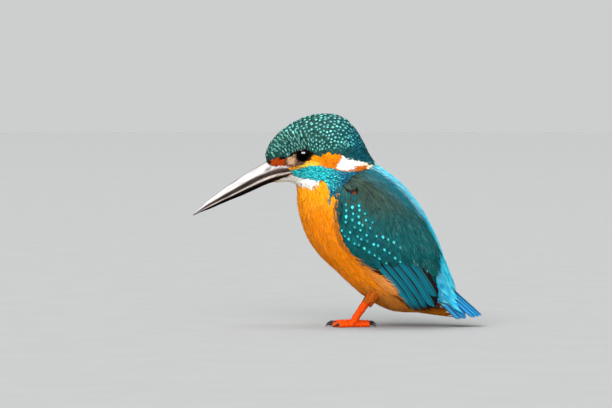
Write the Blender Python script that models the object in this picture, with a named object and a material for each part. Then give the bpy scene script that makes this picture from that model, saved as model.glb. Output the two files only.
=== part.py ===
"""A common kingfisher (Alcedo atthis), life size, standing hunched with its bill held low.

The bird faces -X, +Z is up and it is the same on both sides of the XZ plane. The origin is on the
floor, at the middle of the length from bill tip to tail tip. Sizes below are in millimetres.

One lofted body is parted into head, neck and trunk by thin plane cuts. The bill, eyes, wings, legs
and tail are solids of their own, and each is carved out of what it sits in with a small clearance.
"""

import math

import bmesh
import bpy
import numpy as np
from mathutils import Vector
from mathutils.bvhtree import BVHTree

MM = 0.001
GAP = 0.3  # clearance between neighbouring solids

# The body from bill base to tail root: (top x, top z, bottom x, bottom z, half width, widest level).
# The sections fan round the throat, where the hunched head meets the breast.
BODY_STATIONS = [
    (-30.7, 70.6, -29.0, 61.9, 4.4, 0.45),  # bill base
    (-30.3, 75.0, -27.0, 61.8, 5.9, 0.45),  # forehead
    (-28.0, 79.7, -24.4, 62.1, 7.4, 0.46),  # lores
    (-23.0, 84.7, -21.8, 62.3, 9.2, 0.48),
    (-14.8, 89.4, -19.4, 61.9, 11.2, 0.48),  # eye
    (-4.9, 91.3, -17.7, 60.8, 12.5, 0.47),  # crown
    (3.7, 88.8, -17.2, 58.9, 13.2, 0.46),
    (9.4, 82.0, -17.2, 55.9, 13.7, 0.46),  # hind crown
    (13.1, 74.6, -17.0, 52.5, 14.8, 0.47),  # nape
    (16.6, 69.6, -16.2, 48.2, 16.8, 0.48),  # shoulder
    (22.6, 65.4, -14.4, 42.1, 18.6, 0.49),
    (29.5, 59.3, -11.4, 35.7, 19.6, 0.50),  # breast and mantle
    (35.5, 51.6, -6.7, 29.7, 19.6, 0.52),
    (39.8, 43.9, -0.6, 24.1, 18.6, 0.53),
    (43.2, 36.5, 6.2, 17.6, 16.8, 0.55),  # belly and rump
    (45.8, 29.2, 14.0, 11.4, 14.2, 0.57),
    (48.4, 22.8, 23.4, 6.8, 11.2, 0.60),
    (50.4, 17.8, 33.3, 6.2, 8.2, 0.62),  # vent
    (52.2, 14.6, 41.0, 5.2, 5.6, 0.62),
    (53.4, 12.4, 47.6, 4.2, 2.6, 0.60),  # tail coverts
]
BODY_STEPS, BODY_AROUND = 2, 22

# Plane cuts through the body, each by its throat and nape points (x, z).
HEAD_CUT = ((-17.6, 59.4), (14.2, 71.6))
NECK_CUT = ((-17.2, 50.6), (20.6, 67.2))

# The bill from tip to gape: (x, culmen z, cutting edge z, keel z, half width).
BILL_STATIONS = [
    (-62.1, 48.2, 47.8, 47.4, 0.30),
    (-59.1, 50.9, 49.9, 49.0, 0.80),
    (-54.8, 54.9, 52.7, 50.9, 1.40),
    (-50.5, 58.2, 55.1, 53.0, 1.95),
    (-46.2, 61.3, 57.4, 54.6, 2.50),
    (-41.9, 64.2, 59.6, 56.0, 3.00),
    (-37.6, 66.9, 61.8, 57.8, 3.55),
    (-33.3, 69.2, 64.0, 59.8, 4.20),
    (-29.0, 69.8, 65.9, 61.8, 5.30),
    (-24.7, 69.2, 67.0, 63.2, 6.60),
    (-20.4, 67.9, 67.2, 65.4, 7.20),
]
BILL_STEPS, BILL_AROUND = 2, 10
CULMEN_LEVEL, KEEL_LEVEL = 0.30, 0.70  # widest level of the upper and of the lower mandible
LOWER_NARROWER = 0.94  # the lower mandible's width against the upper one's
LEAST_UPPER, LEAST_LOWER = 0.20, 0.15  # height of the mandibles at their tips

EYE_CENTRE = (-14.3, -8.4, 73.5)
EYE_RADIUS = 4.2
EYE_SEGMENTS, EYE_RINGS = 14, 9

# The folded wing from shoulder to tip: (lower edge x, z, upper edge x, z, outer limit of y).
WING_STATIONS = [
    (4.4, 60.2, 9.5, 62.8, 15.0),
    (0.9, 54.2, 19.4, 62.2, 14.8),
    (0.4, 44.6, 27.0, 57.0, 14.2),
    (2.6, 36.0, 33.2, 49.6, 13.6),
    (8.4, 29.0, 37.8, 41.8, 13.0),
    (16.4, 21.8, 41.0, 33.2, 12.4),
    (24.0, 15.0, 43.0, 24.6, 11.6),
    (30.6, 9.8, 44.2, 16.6, 10.8),
    (38.6, 7.6, 43.8, 9.6, 9.8),
]
WING_STEPS, WING_ACROSS = 2, 12
WING_LIFT = 1.1  # how far the wing stands proud of the body
WING_EDGE, WING_MIDDLE = 0.7, 3.2  # thickness at the edges and in the middle
WING_FULLNESS = 0.6  # power of the bow across the wing, fuller when smaller
WING_TIP_THINNER = 0.62  # share of the thickness that is lost by the tip
WING_EDGE_LIFT = 0.35  # share of the lift that is left at the edges
FLANK_SHARE = 0.72  # where the flank begins to fall away, as a share of the wing's limit
FLANK_SOFTNESS = 2.5  # how gently the wing leaves the flank there
COVERT_CUT = ((15.5, 24.0), (43.5, 30.5))  # where coverts end and flight feathers begin
FEATHER_TIPS, TIP_DEPTH = 4, 0.05  # scallops of the wing tip, as a share of the wing's length

# The tail is an arched fan of twelve feathers.
TAIL_ROOT = (41.5, 22.6)
TAIL_TIP = (62.1, 4.4)
TAIL_ROOT_HALF, TAIL_TIP_HALF = 3.6, 8.8
TAIL_ROOT_DROP, TAIL_TIP_DROP = 0.8, 8.4  # how far the outer feathers hang below the middle ones
TAIL_SHORTER = 0.20  # outer feathers against middle ones, as a share of the length
TAIL_FEATHERS = 12
TAIL_TIP_ROUND = 0.025
TAIL_ROWS = 3
TAIL_THICK = 1.0

# Legs and feet. Every foot stands on flats at z = 0.
THIGH = (17.0, -6.2, 15.6)
ANKLE = (7.4, -7.4, 2.4)
TARSUS_RADII = (1.9, 1.35)
SHIN_TOP = 0.4  # how far above the ankle the tarsus ends
KNEE_SHARE, KNEE_SHIFT = 0.45, (-0.9, 0.0, 0.2)  # the bend between thigh and ankle
SHIN_AROUND = 3
HEEL_HEIGHT, HEEL_RADIUS = 1.6, 1.85
HEEL_SEGMENTS, HEEL_RINGS = 12, 8
TOE_RADIUS, TOE_HEIGHT = 1.25, 0.92
TOE_ROOT_RISE = 0.25
TOE_SHARES = (0.0, 0.30, 0.52, 0.74, 0.93, 1.0)  # joints along a toe
TOE_SWELLS = (1.0, 0.92, 1.05, 0.90, 0.86, 0.50)  # its radius at each, against TOE_RADIUS
CLAW_STEPS = 4
CLAW_ROOT_RADIUS, CLAW_TIP_RADIUS = 0.74, 0.12
CLAW_HEIGHT, CLAW_ARCH, CLAW_DROP = 1.0, 0.35, 0.80
TOE_AROUND, CLAW_AROUND = 2, 1  # bevel resolution of toes and claws
# (name, heading in degrees from straight ahead, length, claw length)
TOES = [
    ("inner", -25.0, 7.4, 2.2),
    ("middle", 3.0, 9.6, 2.8),
    ("outer", 17.0, 8.6, 2.6),
    ("hind", 172.0, 6.8, 2.6),
]

SHARP_ANGLE = 40  # degrees at which an edge is shaded sharp

COLOURS = {
    "crown": ((0.03, 0.24, 0.24), 0.45),
    "neck": ((0.85, 0.80, 0.68), 0.70),
    "breast": ((0.85, 0.30, 0.03), 0.75),
    "wing": ((0.01, 0.22, 0.24), 0.45),
    "tail": ((0.01, 0.22, 0.55), 0.40),
    "bill": ((0.06, 0.045, 0.04), 0.28),
    "eye": ((0.01, 0.007, 0.006), 0.05),
    "leg": ((0.85, 0.16, 0.02), 0.45),
    "claw": ((0.05, 0.04, 0.035), 0.35),
}


def clear_scene():
    for obj in list(bpy.data.objects):
        bpy.data.objects.remove(obj, do_unlink=True)


def make_material(name):
    colour, roughness = COLOURS[name]
    material = bpy.data.materials.new(name)
    material.use_nodes = True
    shader = material.node_tree.nodes["Principled BSDF"]
    shader.inputs["Base Color"].default_value = (*colour, 1.0)
    shader.inputs["Roughness"].default_value = roughness
    shader.inputs["Metallic"].default_value = 0.0
    return material


def add_object(name, mesh, collection):
    obj = bpy.data.objects.new(name, mesh)
    collection.objects.link(obj)
    return obj


def smooth_rows(rows, steps):
    """Rows of numbers, with steps - 1 more between each two of them on a Catmull-Rom curve."""
    rows = np.array(rows, float)
    ends = np.vstack([2 * rows[0] - rows[1], rows, 2 * rows[-1] - rows[-2]])
    dense = []
    for a, b, c, d in zip(ends, ends[1:], ends[2:], ends[3:]):
        for k in range(steps):
            t = k / steps
            linear = (c - a) * t
            square = (2 * a - 5 * b + 4 * c - d) * t**2
            cube = (3 * b - a - 3 * c + d) * t**3
            dense.append(b + 0.5 * (linear + square + cube))
    dense.append(rows[-1])
    return np.array(dense)


def oval(top, bottom, half_width, widest, count):
    """A ring of points between a top and a bottom point of the XZ plane, broadest at the widest level."""
    top, bottom = np.array(top), np.array(bottom)
    centre = bottom + (top - bottom) * widest
    ring = []
    for k in range(count):
        angle = 2 * math.pi * k / count
        up, side = math.cos(angle), math.sin(angle)
        reach = (top - centre) if up > 0 else (centre - bottom)
        x, z = centre + reach * up
        ring.append((x, half_width * side, z))
    return ring


def mesh_of(name, points, faces):
    """A closed mesh from points in millimetres, with its faces pointing out."""
    mesh = bpy.data.meshes.new(name)
    mesh.from_pydata([Vector(p) * MM for p in points], [], faces)
    edit = bmesh.new()
    edit.from_mesh(mesh)
    bmesh.ops.remove_doubles(edit, verts=edit.verts, dist=1e-6)
    bmesh.ops.recalc_face_normals(edit, faces=edit.faces)
    edit.to_mesh(mesh)
    edit.free()
    return mesh


def loft(name, rings):
    """A closed mesh through rings of equal count, capped at both ends."""
    count = len(rings[0])
    points = [p for ring in rings for p in ring]
    faces = [list(range(count)), list(range(len(points) - count, len(points)))]
    for i in range(len(rings) - 1):
        for k in range(count):
            a, b = i * count + k, i * count + (k + 1) % count
            faces.append([a, b, b + count, a + count])
    return mesh_of(name, points, faces)


def plate(name, outer, inner):
    """A closed mesh between two grids of points of one size, joined round their border."""
    rows, columns = len(outer), len(outer[0])
    points = [p for row in outer for p in row] + [p for row in inner for p in row]
    offset = rows * columns
    faces = []
    for i in range(rows - 1):
        for j in range(columns - 1):
            a = i * columns + j
            quad = [a, a + 1, a + columns + 1, a + columns]
            faces += [quad, [offset + v for v in reversed(quad)]]
    border = [j for j in range(columns)]
    border += [i * columns + columns - 1 for i in range(1, rows)]
    border += [(rows - 1) * columns + j for j in range(columns - 2, -1, -1)]
    border += [i * columns for i in range(rows - 2, 0, -1)]
    for a, b in zip(border, border[1:] + border[:1]):
        faces.append([a, b, b + offset, a + offset])
    return mesh_of(name, points, faces)


def evaluated_mesh(obj):
    graph = bpy.context.evaluated_depsgraph_get()
    return bpy.data.meshes.new_from_object(obj.evaluated_get(graph))


def combine(obj, other, operation):
    """Applies a Boolean with another object to obj, and removes the other object."""
    modifier = obj.modifiers.new(operation.lower(), "BOOLEAN")
    modifier.operation = operation
    modifier.solver = "EXACT"
    modifier.object = other
    made = evaluated_mesh(obj)
    obj.modifiers.clear()
    obj.data = made
    bpy.data.objects.remove(other, do_unlink=True)


def inflated_copy(obj, amount, collection):
    """A copy of obj grown by amount millimetres along its normals."""
    mesh = obj.data.copy()
    normals = [v.normal.copy() for v in mesh.vertices]
    for vertex, normal in zip(mesh.vertices, normals):
        vertex.co += normal * amount * MM
    return add_object(obj.name + "_cutter", mesh, collection)


def carve(obj, other, collection, clearance=GAP):
    """Cuts from obj the room that another object needs, which itself stays as it is."""
    combine(obj, inflated_copy(other, clearance, collection), "DIFFERENCE")


def part_of(mesh, first, second, keep_above, name):
    """The part of a mesh on one side of a plane through two points of the XZ plane."""
    start = Vector((first[0], 0, first[1])) * MM
    along = Vector((second[0] - first[0], 0, second[1] - first[1])).normalized()
    normal = along.cross(Vector((0, 1, 0)))
    if normal.z < 0:
        normal.negate()
    side = 1 if keep_above else -1
    edit = bmesh.new()
    edit.from_mesh(mesh)
    cut = bmesh.ops.bisect_plane(
        edit,
        geom=edit.verts[:] + edit.edges[:] + edit.faces[:],
        plane_co=start + normal * side * GAP / 2 * MM,
        plane_no=normal,
        clear_inner=keep_above,
        clear_outer=not keep_above,
    )
    rim = [e for e in cut["geom_cut"] if isinstance(e, bmesh.types.BMEdge)]
    bmesh.ops.contextual_create(edit, geom=rim)
    bmesh.ops.recalc_face_normals(edit, faces=edit.faces)
    made = bpy.data.meshes.new(name)
    edit.to_mesh(made)
    edit.free()
    return made


def mirrored(obj, name, collection):
    """The same solid on the other side of the XZ plane."""
    mesh = obj.data.copy()
    for vertex in mesh.vertices:
        vertex.co.y = -vertex.co.y
    mesh.flip_normals()
    return add_object(name, mesh, collection)


def make_body():
    rings = []
    for x1, z1, x0, z0, half_width, widest in smooth_rows(BODY_STATIONS, BODY_STEPS):
        rings.append(oval((x1, z1), (x0, z0), half_width, widest, BODY_AROUND))
    return loft("body", rings)


def make_mandible(name, upper):
    rings = []
    for x, culmen, edge, keel, half_width in smooth_rows(BILL_STATIONS, BILL_STEPS):
        if upper:
            low = min(edge + GAP / 2, culmen - LEAST_UPPER)
            rings.append(oval((x, culmen), (x, low), half_width, CULMEN_LEVEL, BILL_AROUND))
        else:
            high = max(edge - GAP / 2, keel + LEAST_LOWER)
            narrower = half_width * LOWER_NARROWER
            rings.append(oval((x, high), (x, keel), narrower, KEEL_LEVEL, BILL_AROUND))
    return loft(name, rings)


def side_of(body_tree, x, z, limit):
    """How far out the body's left side lies at a point of the XZ plane, and at most limit inwards."""
    far = 5 * limit
    hit = body_tree.ray_cast(Vector((x, -far, z)) * MM, Vector((0, 1, 0)))[0]
    reach = -hit.y / MM if hit is not None else 0.0
    return (limit + reach + math.hypot(reach - limit, FLANK_SOFTNESS)) / 2


def make_wing(body_mesh):
    """The left folded wing: a bowed blade that lies on the flank and narrows to its scalloped tip."""
    edit = bmesh.new()
    edit.from_mesh(body_mesh)
    tree = BVHTree.FromBMesh(edit)
    rows = smooth_rows(WING_STATIONS, WING_STEPS)
    last = len(rows) - 1
    outer, inner = [], []
    for i in range(last + 1):
        outer_row, inner_row = [], []
        for j in range(WING_ACROSS + 1):
            across = j / WING_ACROSS
            scallop = TIP_DEPTH * (1 - abs(math.sin(FEATHER_TIPS * math.pi * across)))
            along = i * (1 - scallop * (i / last) ** 3)
            k = min(int(along), last - 1)
            low_x, low_z, high_x, high_z, limit = rows[k] + (rows[k + 1] - rows[k]) * (along - k)
            x, z = low_x + (high_x - low_x) * across, low_z + (high_z - low_z) * across
            bow = math.sin(math.pi * across) ** WING_FULLNESS
            tip = 1 - WING_TIP_THINNER * (i / last) ** 2
            lift = WING_LIFT * (WING_EDGE_LIFT + (1 - WING_EDGE_LIFT) * bow)
            out = side_of(tree, x, z, limit * FLANK_SHARE) + lift
            thick = WING_EDGE + (WING_MIDDLE - WING_EDGE) * bow * tip
            outer_row.append((x, -out, z))
            inner_row.append((x, -out + thick, z))
        outer.append(outer_row)
        inner.append(inner_row)
    edit.free()
    return plate("wing", outer, inner)


def make_tail():
    """The tail: an arched plate whose rounded end is scalloped by its feathers."""
    root, tip = np.array(TAIL_ROOT), np.array(TAIL_TIP)
    length = np.linalg.norm(tip - root)
    along = (tip - root) / length
    up = np.array([-along[1], along[0]])
    columns, rows = 2 * TAIL_FEATHERS, TAIL_ROWS
    upper, lower = [], []
    for i in range(rows + 1):
        upper_row, lower_row = [], []
        for j in range(columns + 1):
            s = 2 * j / columns - 1
            scallop = TAIL_TIP_ROUND * (1 - abs(math.sin(TAIL_FEATHERS / 2 * math.pi * s)))
            t = i / rows * (1 - TAIL_SHORTER * s * s - scallop)
            half = TAIL_ROOT_HALF + (TAIL_TIP_HALF - TAIL_ROOT_HALF) * t
            drop = TAIL_ROOT_DROP + (TAIL_TIP_DROP - TAIL_ROOT_DROP) * t
            x, z = root + along * length * t - up * drop * s * s
            lean = -2 * drop * s / half  # slope of the arch across the tail
            normal = np.array([up[0], -lean, up[1]]) / math.hypot(1, lean)
            centre = np.array([x, half * s, z])
            upper_row.append(tuple(centre + normal * TAIL_THICK / 2))
            lower_row.append(tuple(centre - normal * TAIL_THICK / 2))
        upper.append(upper_row)
        lower.append(lower_row)
    return plate("tail", upper, lower)


def ball(name, centre, radius, segments, rings):
    edit = bmesh.new()
    bmesh.ops.create_uvsphere(edit, u_segments=segments, v_segments=rings, radius=radius * MM)
    bmesh.ops.translate(edit, verts=edit.verts, vec=Vector(centre) * MM)
    mesh = bpy.data.meshes.new(name)
    edit.to_mesh(mesh)
    edit.free()
    return mesh


def tube(name, points, radii, collection, resolution):
    """A closed tube through points, with its own radius at each, as a mesh object."""
    curve = bpy.data.curves.new(name, "CURVE")
    curve.dimensions = "3D"
    curve.bevel_depth = MM
    curve.bevel_resolution = resolution
    curve.use_fill_caps = True
    spline = curve.splines.new("POLY")
    spline.points.add(len(points) - 1)
    for target, point, radius in zip(spline.points, points, radii):
        target.co = (*(Vector(point) * MM), 1.0)
        target.radius = radius
    source = bpy.data.objects.new(name, curve)
    collection.objects.link(source)
    mesh = evaluated_mesh(source)
    bpy.data.objects.remove(source, do_unlink=True)
    edit = bmesh.new()
    edit.from_mesh(mesh)
    bmesh.ops.remove_doubles(edit, verts=edit.verts, dist=1e-6)
    bmesh.ops.recalc_face_normals(edit, faces=edit.faces)
    edit.to_mesh(mesh)
    edit.free()
    return add_object(name, mesh, collection)


def make_toe(name, heading, length, collection):
    """A toe that runs along the floor from under the ankle, with two swollen joints."""
    turn = math.radians(heading)
    forward = Vector((-math.cos(turn), math.sin(turn), 0))
    start = Vector((ANKLE[0], ANKLE[1], TOE_HEIGHT + TOE_ROOT_RISE))
    points = [start + forward * length * s for s in TOE_SHARES]
    for point in points[1:]:
        point.z = TOE_HEIGHT
    return tube(name, points, [TOE_RADIUS * w for w in TOE_SWELLS], collection, TOE_AROUND)


def make_claw(name, heading, toe_length, length, collection):
    """A hooked claw on the end of a toe, its tip just clear of the floor."""
    turn = math.radians(heading)
    forward = Vector((-math.cos(turn), math.sin(turn), 0))
    start = Vector((ANKLE[0], ANKLE[1], 0)) + forward * (toe_length + GAP)
    points, radii = [], []
    for k in range(CLAW_STEPS + 1):
        t = k / CLAW_STEPS
        height = CLAW_HEIGHT + CLAW_ARCH * math.sin(math.pi * t) - CLAW_DROP * t * t
        points.append(start + forward * length * t + Vector((0, 0, height)))
        radii.append(CLAW_ROOT_RADIUS + (CLAW_TIP_RADIUS - CLAW_ROOT_RADIUS) * t)
    return tube(name, points, radii, collection, CLAW_AROUND)


def flatten_below(obj, level):
    """Cuts a solid flat at a level, so that it stands on it."""
    edit = bmesh.new()
    edit.from_mesh(obj.data)
    cut = bmesh.ops.bisect_plane(
        edit,
        geom=edit.verts[:] + edit.edges[:] + edit.faces[:],
        plane_co=(0, 0, level * MM),
        plane_no=(0, 0, 1),
        clear_inner=True,
    )
    rim = [e for e in cut["geom_cut"] if isinstance(e, bmesh.types.BMEdge)]
    bmesh.ops.edgeloop_fill(edit, edges=rim)
    bmesh.ops.recalc_face_normals(edit, faces=edit.faces)
    edit.to_mesh(obj.data)
    edit.free()


def make_leg(collection):
    """The left leg: a short tarsus, a foot of three front toes and one hind toe, and four claws."""
    thigh, ankle = Vector(THIGH), Vector(ANKLE)
    knee = thigh.lerp(ankle, KNEE_SHARE) + Vector(KNEE_SHIFT)
    radii = (TARSUS_RADII[0], sum(TARSUS_RADII) / 2, TARSUS_RADII[1])
    joints = [thigh, knee, ankle + Vector((0, 0, SHIN_TOP))]
    leg = tube("leg_left", joints, radii, collection, SHIN_AROUND)
    heel = (ANKLE[0], ANKLE[1], HEEL_HEIGHT)
    heel_mesh = ball("foot_left", heel, HEEL_RADIUS, HEEL_SEGMENTS, HEEL_RINGS)
    foot = add_object("foot_left", heel_mesh, collection)
    claws = []
    for name, heading, length, claw_length in TOES:
        combine(foot, make_toe("toe_" + name, heading, length, collection), "UNION")
        claws.append(make_claw("claw_left_" + name, heading, length, claw_length, collection))
    flatten_below(foot, 0.0)
    carve(leg, foot, collection)
    return leg, foot, claws


def build():
    clear_scene()
    scene = bpy.context.scene.collection
    collection = bpy.data.collections.new("kingfisher")
    scene.children.link(collection)
    materials = {name: make_material(name) for name in COLOURS}

    body = make_body()
    head = add_object("head", part_of(body, *HEAD_CUT, True, "head"), collection)
    below_head = part_of(body, *HEAD_CUT, False, "below_head")
    neck = add_object("neck", part_of(below_head, *NECK_CUT, True, "neck"), collection)
    trunk = add_object("trunk", part_of(below_head, *NECK_CUT, False, "trunk"), collection)

    bill_upper = add_object("bill_upper", make_mandible("bill_upper", True), collection)
    bill_lower = add_object("bill_lower", make_mandible("bill_lower", False), collection)
    eye_mesh = ball("eye_left", EYE_CENTRE, EYE_RADIUS, EYE_SEGMENTS, EYE_RINGS)
    eye_left = add_object("eye_left", eye_mesh, collection)
    eye_right = mirrored(eye_left, "eye_right", collection)
    for piece in (bill_upper, bill_lower, eye_left, eye_right):
        carve(head, piece, collection)

    whole_wing = add_object("whole_wing", make_wing(body), collection)
    whole_wing_right = mirrored(whole_wing, "whole_wing_right", collection)
    tail = add_object("tail", make_tail(), collection)
    for piece in (whole_wing, whole_wing_right):
        carve(neck, piece, collection)
        carve(trunk, piece, collection)
    carve(trunk, tail, collection)

    coverts = part_of(whole_wing.data, *COVERT_CUT, True, "wing_left")
    wing_left = add_object("wing_left", coverts, collection)
    blades = part_of(whole_wing.data, *COVERT_CUT, False, "flight_left")
    flight_left = add_object("flight_left", blades, collection)
    for piece in (whole_wing, whole_wing_right):
        bpy.data.objects.remove(piece, do_unlink=True)

    leg_left, foot_left, claws = make_leg(collection)
    carve(trunk, leg_left, collection)
    paired = [wing_left, flight_left, leg_left, foot_left, *claws]
    pairs = {obj.name: mirrored(obj, obj.name.replace("left", "right"), collection) for obj in paired}
    carve(trunk, pairs["leg_left"], collection)

    finish = {
        "head": "crown",
        "neck": "neck",
        "trunk": "breast",
        "bill": "bill",
        "eye": "eye",
        "wing": "wing",
        "flight": "wing",
        "tail": "tail",
        "leg": "leg",
        "foot": "leg",
        "claw": "claw",
    }
    for obj in collection.objects:
        obj.data.materials.clear()
        obj.data.materials.append(materials[finish[obj.name.split("_")[0]]])
        obj.data.shade_smooth()
        obj.data.set_sharp_from_angle(angle=math.radians(SHARP_ANGLE))


build()
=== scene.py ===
"""A common kingfisher as a still museum model: skin, feathers, bill, eyes, lids, legs and claws.

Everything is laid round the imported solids. Sizes are in millimetres unless a name says otherwise. The
bird faces -X and its left side is towards -Y. "Form" is the outline of the solids, which the coat's
surface follows; the skin lies inside it by the depth of the coat.
"""

import itertools
import math

import bmesh
import bpy
import numpy as np
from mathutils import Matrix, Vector
from mathutils.bvhtree import BVHTree


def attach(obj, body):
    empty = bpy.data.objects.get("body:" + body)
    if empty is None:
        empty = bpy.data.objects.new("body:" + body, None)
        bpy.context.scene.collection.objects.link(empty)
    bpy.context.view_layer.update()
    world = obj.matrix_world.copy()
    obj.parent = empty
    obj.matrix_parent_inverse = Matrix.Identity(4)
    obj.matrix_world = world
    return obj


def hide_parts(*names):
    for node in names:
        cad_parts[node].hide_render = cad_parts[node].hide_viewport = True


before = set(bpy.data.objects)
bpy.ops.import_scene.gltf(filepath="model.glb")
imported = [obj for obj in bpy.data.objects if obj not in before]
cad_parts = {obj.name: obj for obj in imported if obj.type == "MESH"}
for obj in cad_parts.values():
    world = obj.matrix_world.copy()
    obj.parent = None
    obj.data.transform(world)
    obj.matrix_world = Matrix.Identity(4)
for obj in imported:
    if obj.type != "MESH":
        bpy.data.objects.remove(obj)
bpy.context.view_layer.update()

MM = 0.001
SEED = 11
SIDES = ((-1, "left"), (1, "right"))

# The left eyeball, and the half width and half height of the face's opening for it.
EYE_CENTRE, EYE_RADIUS = (-14.3, -8.4, 73.5), 4.1
EYE_OPENING = (3.5, 2.65)

# ---------------------------------------------------------------- the lie of the coat

# The crown's feathers lie in arcs round a point inside the head.
CROWN_CENTRE = (-8.0, 66.0)
CROWN_COMB = [(radius, angle) for radius in (12.0, 20.0, 27.0) for angle in range(20, 171, 15)]

# Elsewhere the coat follows these strokes: (x, z, heading), 0 is straight back and 90 straight up.
COMB = [
    (-27, 70, 8), (-22, 71, 2), (-17, 69, 0), (-10, 71, -4), (-4, 72, -8), (1, 70, -12),
    (7, 70, -14), (13, 70, -22), (-20, 65, -2), (-13, 66, -4), (-6, 66, -9), (0, 65, -20),
    (5, 66, -24), (-28, 62, 4), (-22, 61.5, -4), (-16.5, 61, -22), (-12, 61, -35), (-8, 60, -58),
    (-3, 60, -62), (-16, 56, -80), (-10, 55, -82), (-3, 54, -84), (-16, 47, -88), (-8, 46, -84),
    (-14, 40, -74), (-5, 39, -70), (-10, 33, -60), (0, 32, -58), (-2, 26, -50), (6, 25, -50),
    (8, 17, -40), (14, 19, -44), (20, 9, -26), (24, 13, -36), (32, 6, -12), (45, 5, -6),
    (3, 60, -80), (4, 52, -86), (4, 44, -84), (6, 36, -66), (12, 30, -54), (10, 56, -78),
    (12, 48, -84), (12, 40, -78), (18, 54, -74), (20, 46, -80), (20, 38, -74), (26, 50, -70),
    (28, 42, -74), (29, 34, -68), (20, 30, -58), (34, 44, -68), (37, 35, -68), (22, 22, -54),
    (30, 26, -58), (38, 25, -62), (28, 14, -52), (36, 15, -56), (40, 10, -50),
    (17, 69, -24), (24, 64, -38), (31, 57, -50), (36, 50, -58), (41, 41, -64), (45, 32, -70),
    (47, 25, -72), (50, 18, -58), (53, 14, -43), (60, 7, -41), (52, 6, -41),
    (-1, 75, -8), (3, 74.5, -16), (7, 74.5, -24), (11, 74, -36), (15, 73, -48),
]
COMB_SOFT = 1.5

# Rows across the body for the unwrap of its skin: (dorsal x, z, ventral x, z).
SKIN_ROWS = [
    (-31.5, 68.0, -31.5, 60.0), (-28.0, 79.7, -24.4, 62.1), (-14.8, 89.4, -19.4, 61.9),
    (3.7, 88.8, -17.2, 58.9), (13.1, 74.6, -17.0, 52.5), (22.6, 65.4, -14.4, 42.1),
    (35.5, 51.6, -6.7, 29.7), (43.2, 36.5, 6.2, 17.6), (48.4, 22.8, 23.4, 6.8),
    (53.4, 12.4, 47.6, 4.2), (66.0, 6.0, 60.0, -2.0),
]

# ---------------------------------------------------------------- markings


def curve(*points):
    """A boundary as a function: its second number at each value of the first."""
    xs, zs = zip(*points)
    return lambda x: np.interp(x, xs, zs)


CROWN_EDGE = curve(
    (-31, 70.6), (-28.4, 71.6), (-26, 72.2), (-22.6, 73.0), (-17.4, 75.4), (-14.4, 76.2), (-11.6, 75.5),
    (-10.2, 73.4), (-8, 74.0), (-4.7, 75.2), (1.2, 75.3), (2.0, 73.2), (8, 72.6), (14.5, 71.4), (18, 69.6),
)
MALAR_TOP = curve(
    (-24, 66.8), (-20.6, 67.0), (-16.1, 67.9), (-12.7, 69.1), (-9.2, 69.4), (-1.1, 68.0),
    (5.4, 66.0), (9, 64.6),
)
MALAR_LOW = curve(
    (-21, 66.9), (-20.2, 65.3), (-16.1, 64.1), (-9.7, 63.6), (-5.4, 63.0), (-3.9, 61.0), (-3.6, 54.6),
    (-2.9, 53.4), (-2.2, 57.4), (-0.4, 57.6), (1.0, 58.2), (6.2, 60.0),
)
WHITE_LOW = curve(
    (-1.6, 68.4), (3.2, 67.6), (5.0, 68.0), (7.4, 69.4), (10, 70.0), (13.2, 70.3), (15.5, 70.3),
    (19, 69.5),
)
STREAK_LOW = curve((2.0, 66.9), (5.0, 67.2), (8.8, 67.4), (11.8, 68.2), (13.6, 69.4), (14.5, 70.2))
WHITE_FRONT = curve((67.0, -1.4), (70.0, -0.6), (73.0, 1.4), (76.0, 2.4))
THROAT_LOW = curve((-31, 60), (-18.2, 61.9), (-17.2, 61.7), (-14, 60.7), (-11.6, 59.8), (-8.2, 62.4))
BILL_HIGH = curve((-31, 70.2), (-28.4, 69.0), (-24.0, 68.6), (-20.4, 67.6))
BILL_LOW = curve((-31, 61.0), (-28.7, 61.8), (-25.7, 63.0), (-22.7, 63.7), (-21.2, 64.8), (-20.4, 66.8))
WING_FRONT = curve(
    (0, 40), (5.4, 34.5), (9.6, 31.2), (14.8, 24.7), (22.8, 16.1), (27.5, 10.5), (32.3, 5.4),
    (37.5, 1.5), (44, -0.2), (52, 0.0), (56, 0.4), (58.5, 1.2), (60.5, 2.2), (62.5, 3.4),
    (65, 5.4), (66.4, 7.2), (68, 8.0), (75, 8.0),
)
WING_REAR = curve(
    (5, 43.4), (13.8, 43.4), (18.6, 42.9), (23.4, 42.4), (30.6, 41.9), (35.0, 41.6), (37.8, 41.3),
    (44, 38.4), (49.6, 35.0), (50.6, 33.0), (52.2, 31.6), (57, 25.8), (61.8, 19.8), (65.0, 15.2),
    (67.0, 12.6), (70, 10.5),
)
SCAPULAR_LOW = curve(
    (1, 58.0), (6, 55.2), (10, 52), (14, 46), (18, 41), (24, 36), (30, 31.5), (34, 29.8),
    (38, 28.0), (43, 25.6),
)
FLIGHT_TOP = curve(
    (17, 24.0), (20, 25.5), (23, 25.6), (26, 27.0), (30, 27.5), (34, 26.0), (38, 23), (43, 18.5),
)
# Dark barbs over the bend of the wing lie along this line, round a few orange ones.
NOTCH_LINE = curve((3.2, 60.3), (4.4, 59.2), (6.0, 58.6), (7.8, 58.8), (9.2, 59.9))
NOTCH_MIDDLE = (7.6, 58.2)

CROWN, FACE, WHITE, BREAST, BACK, SCAPULAR, COVERT, UNDERTAIL, FLIGHT, EYE, MALAR, BARE = range(12)

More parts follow.
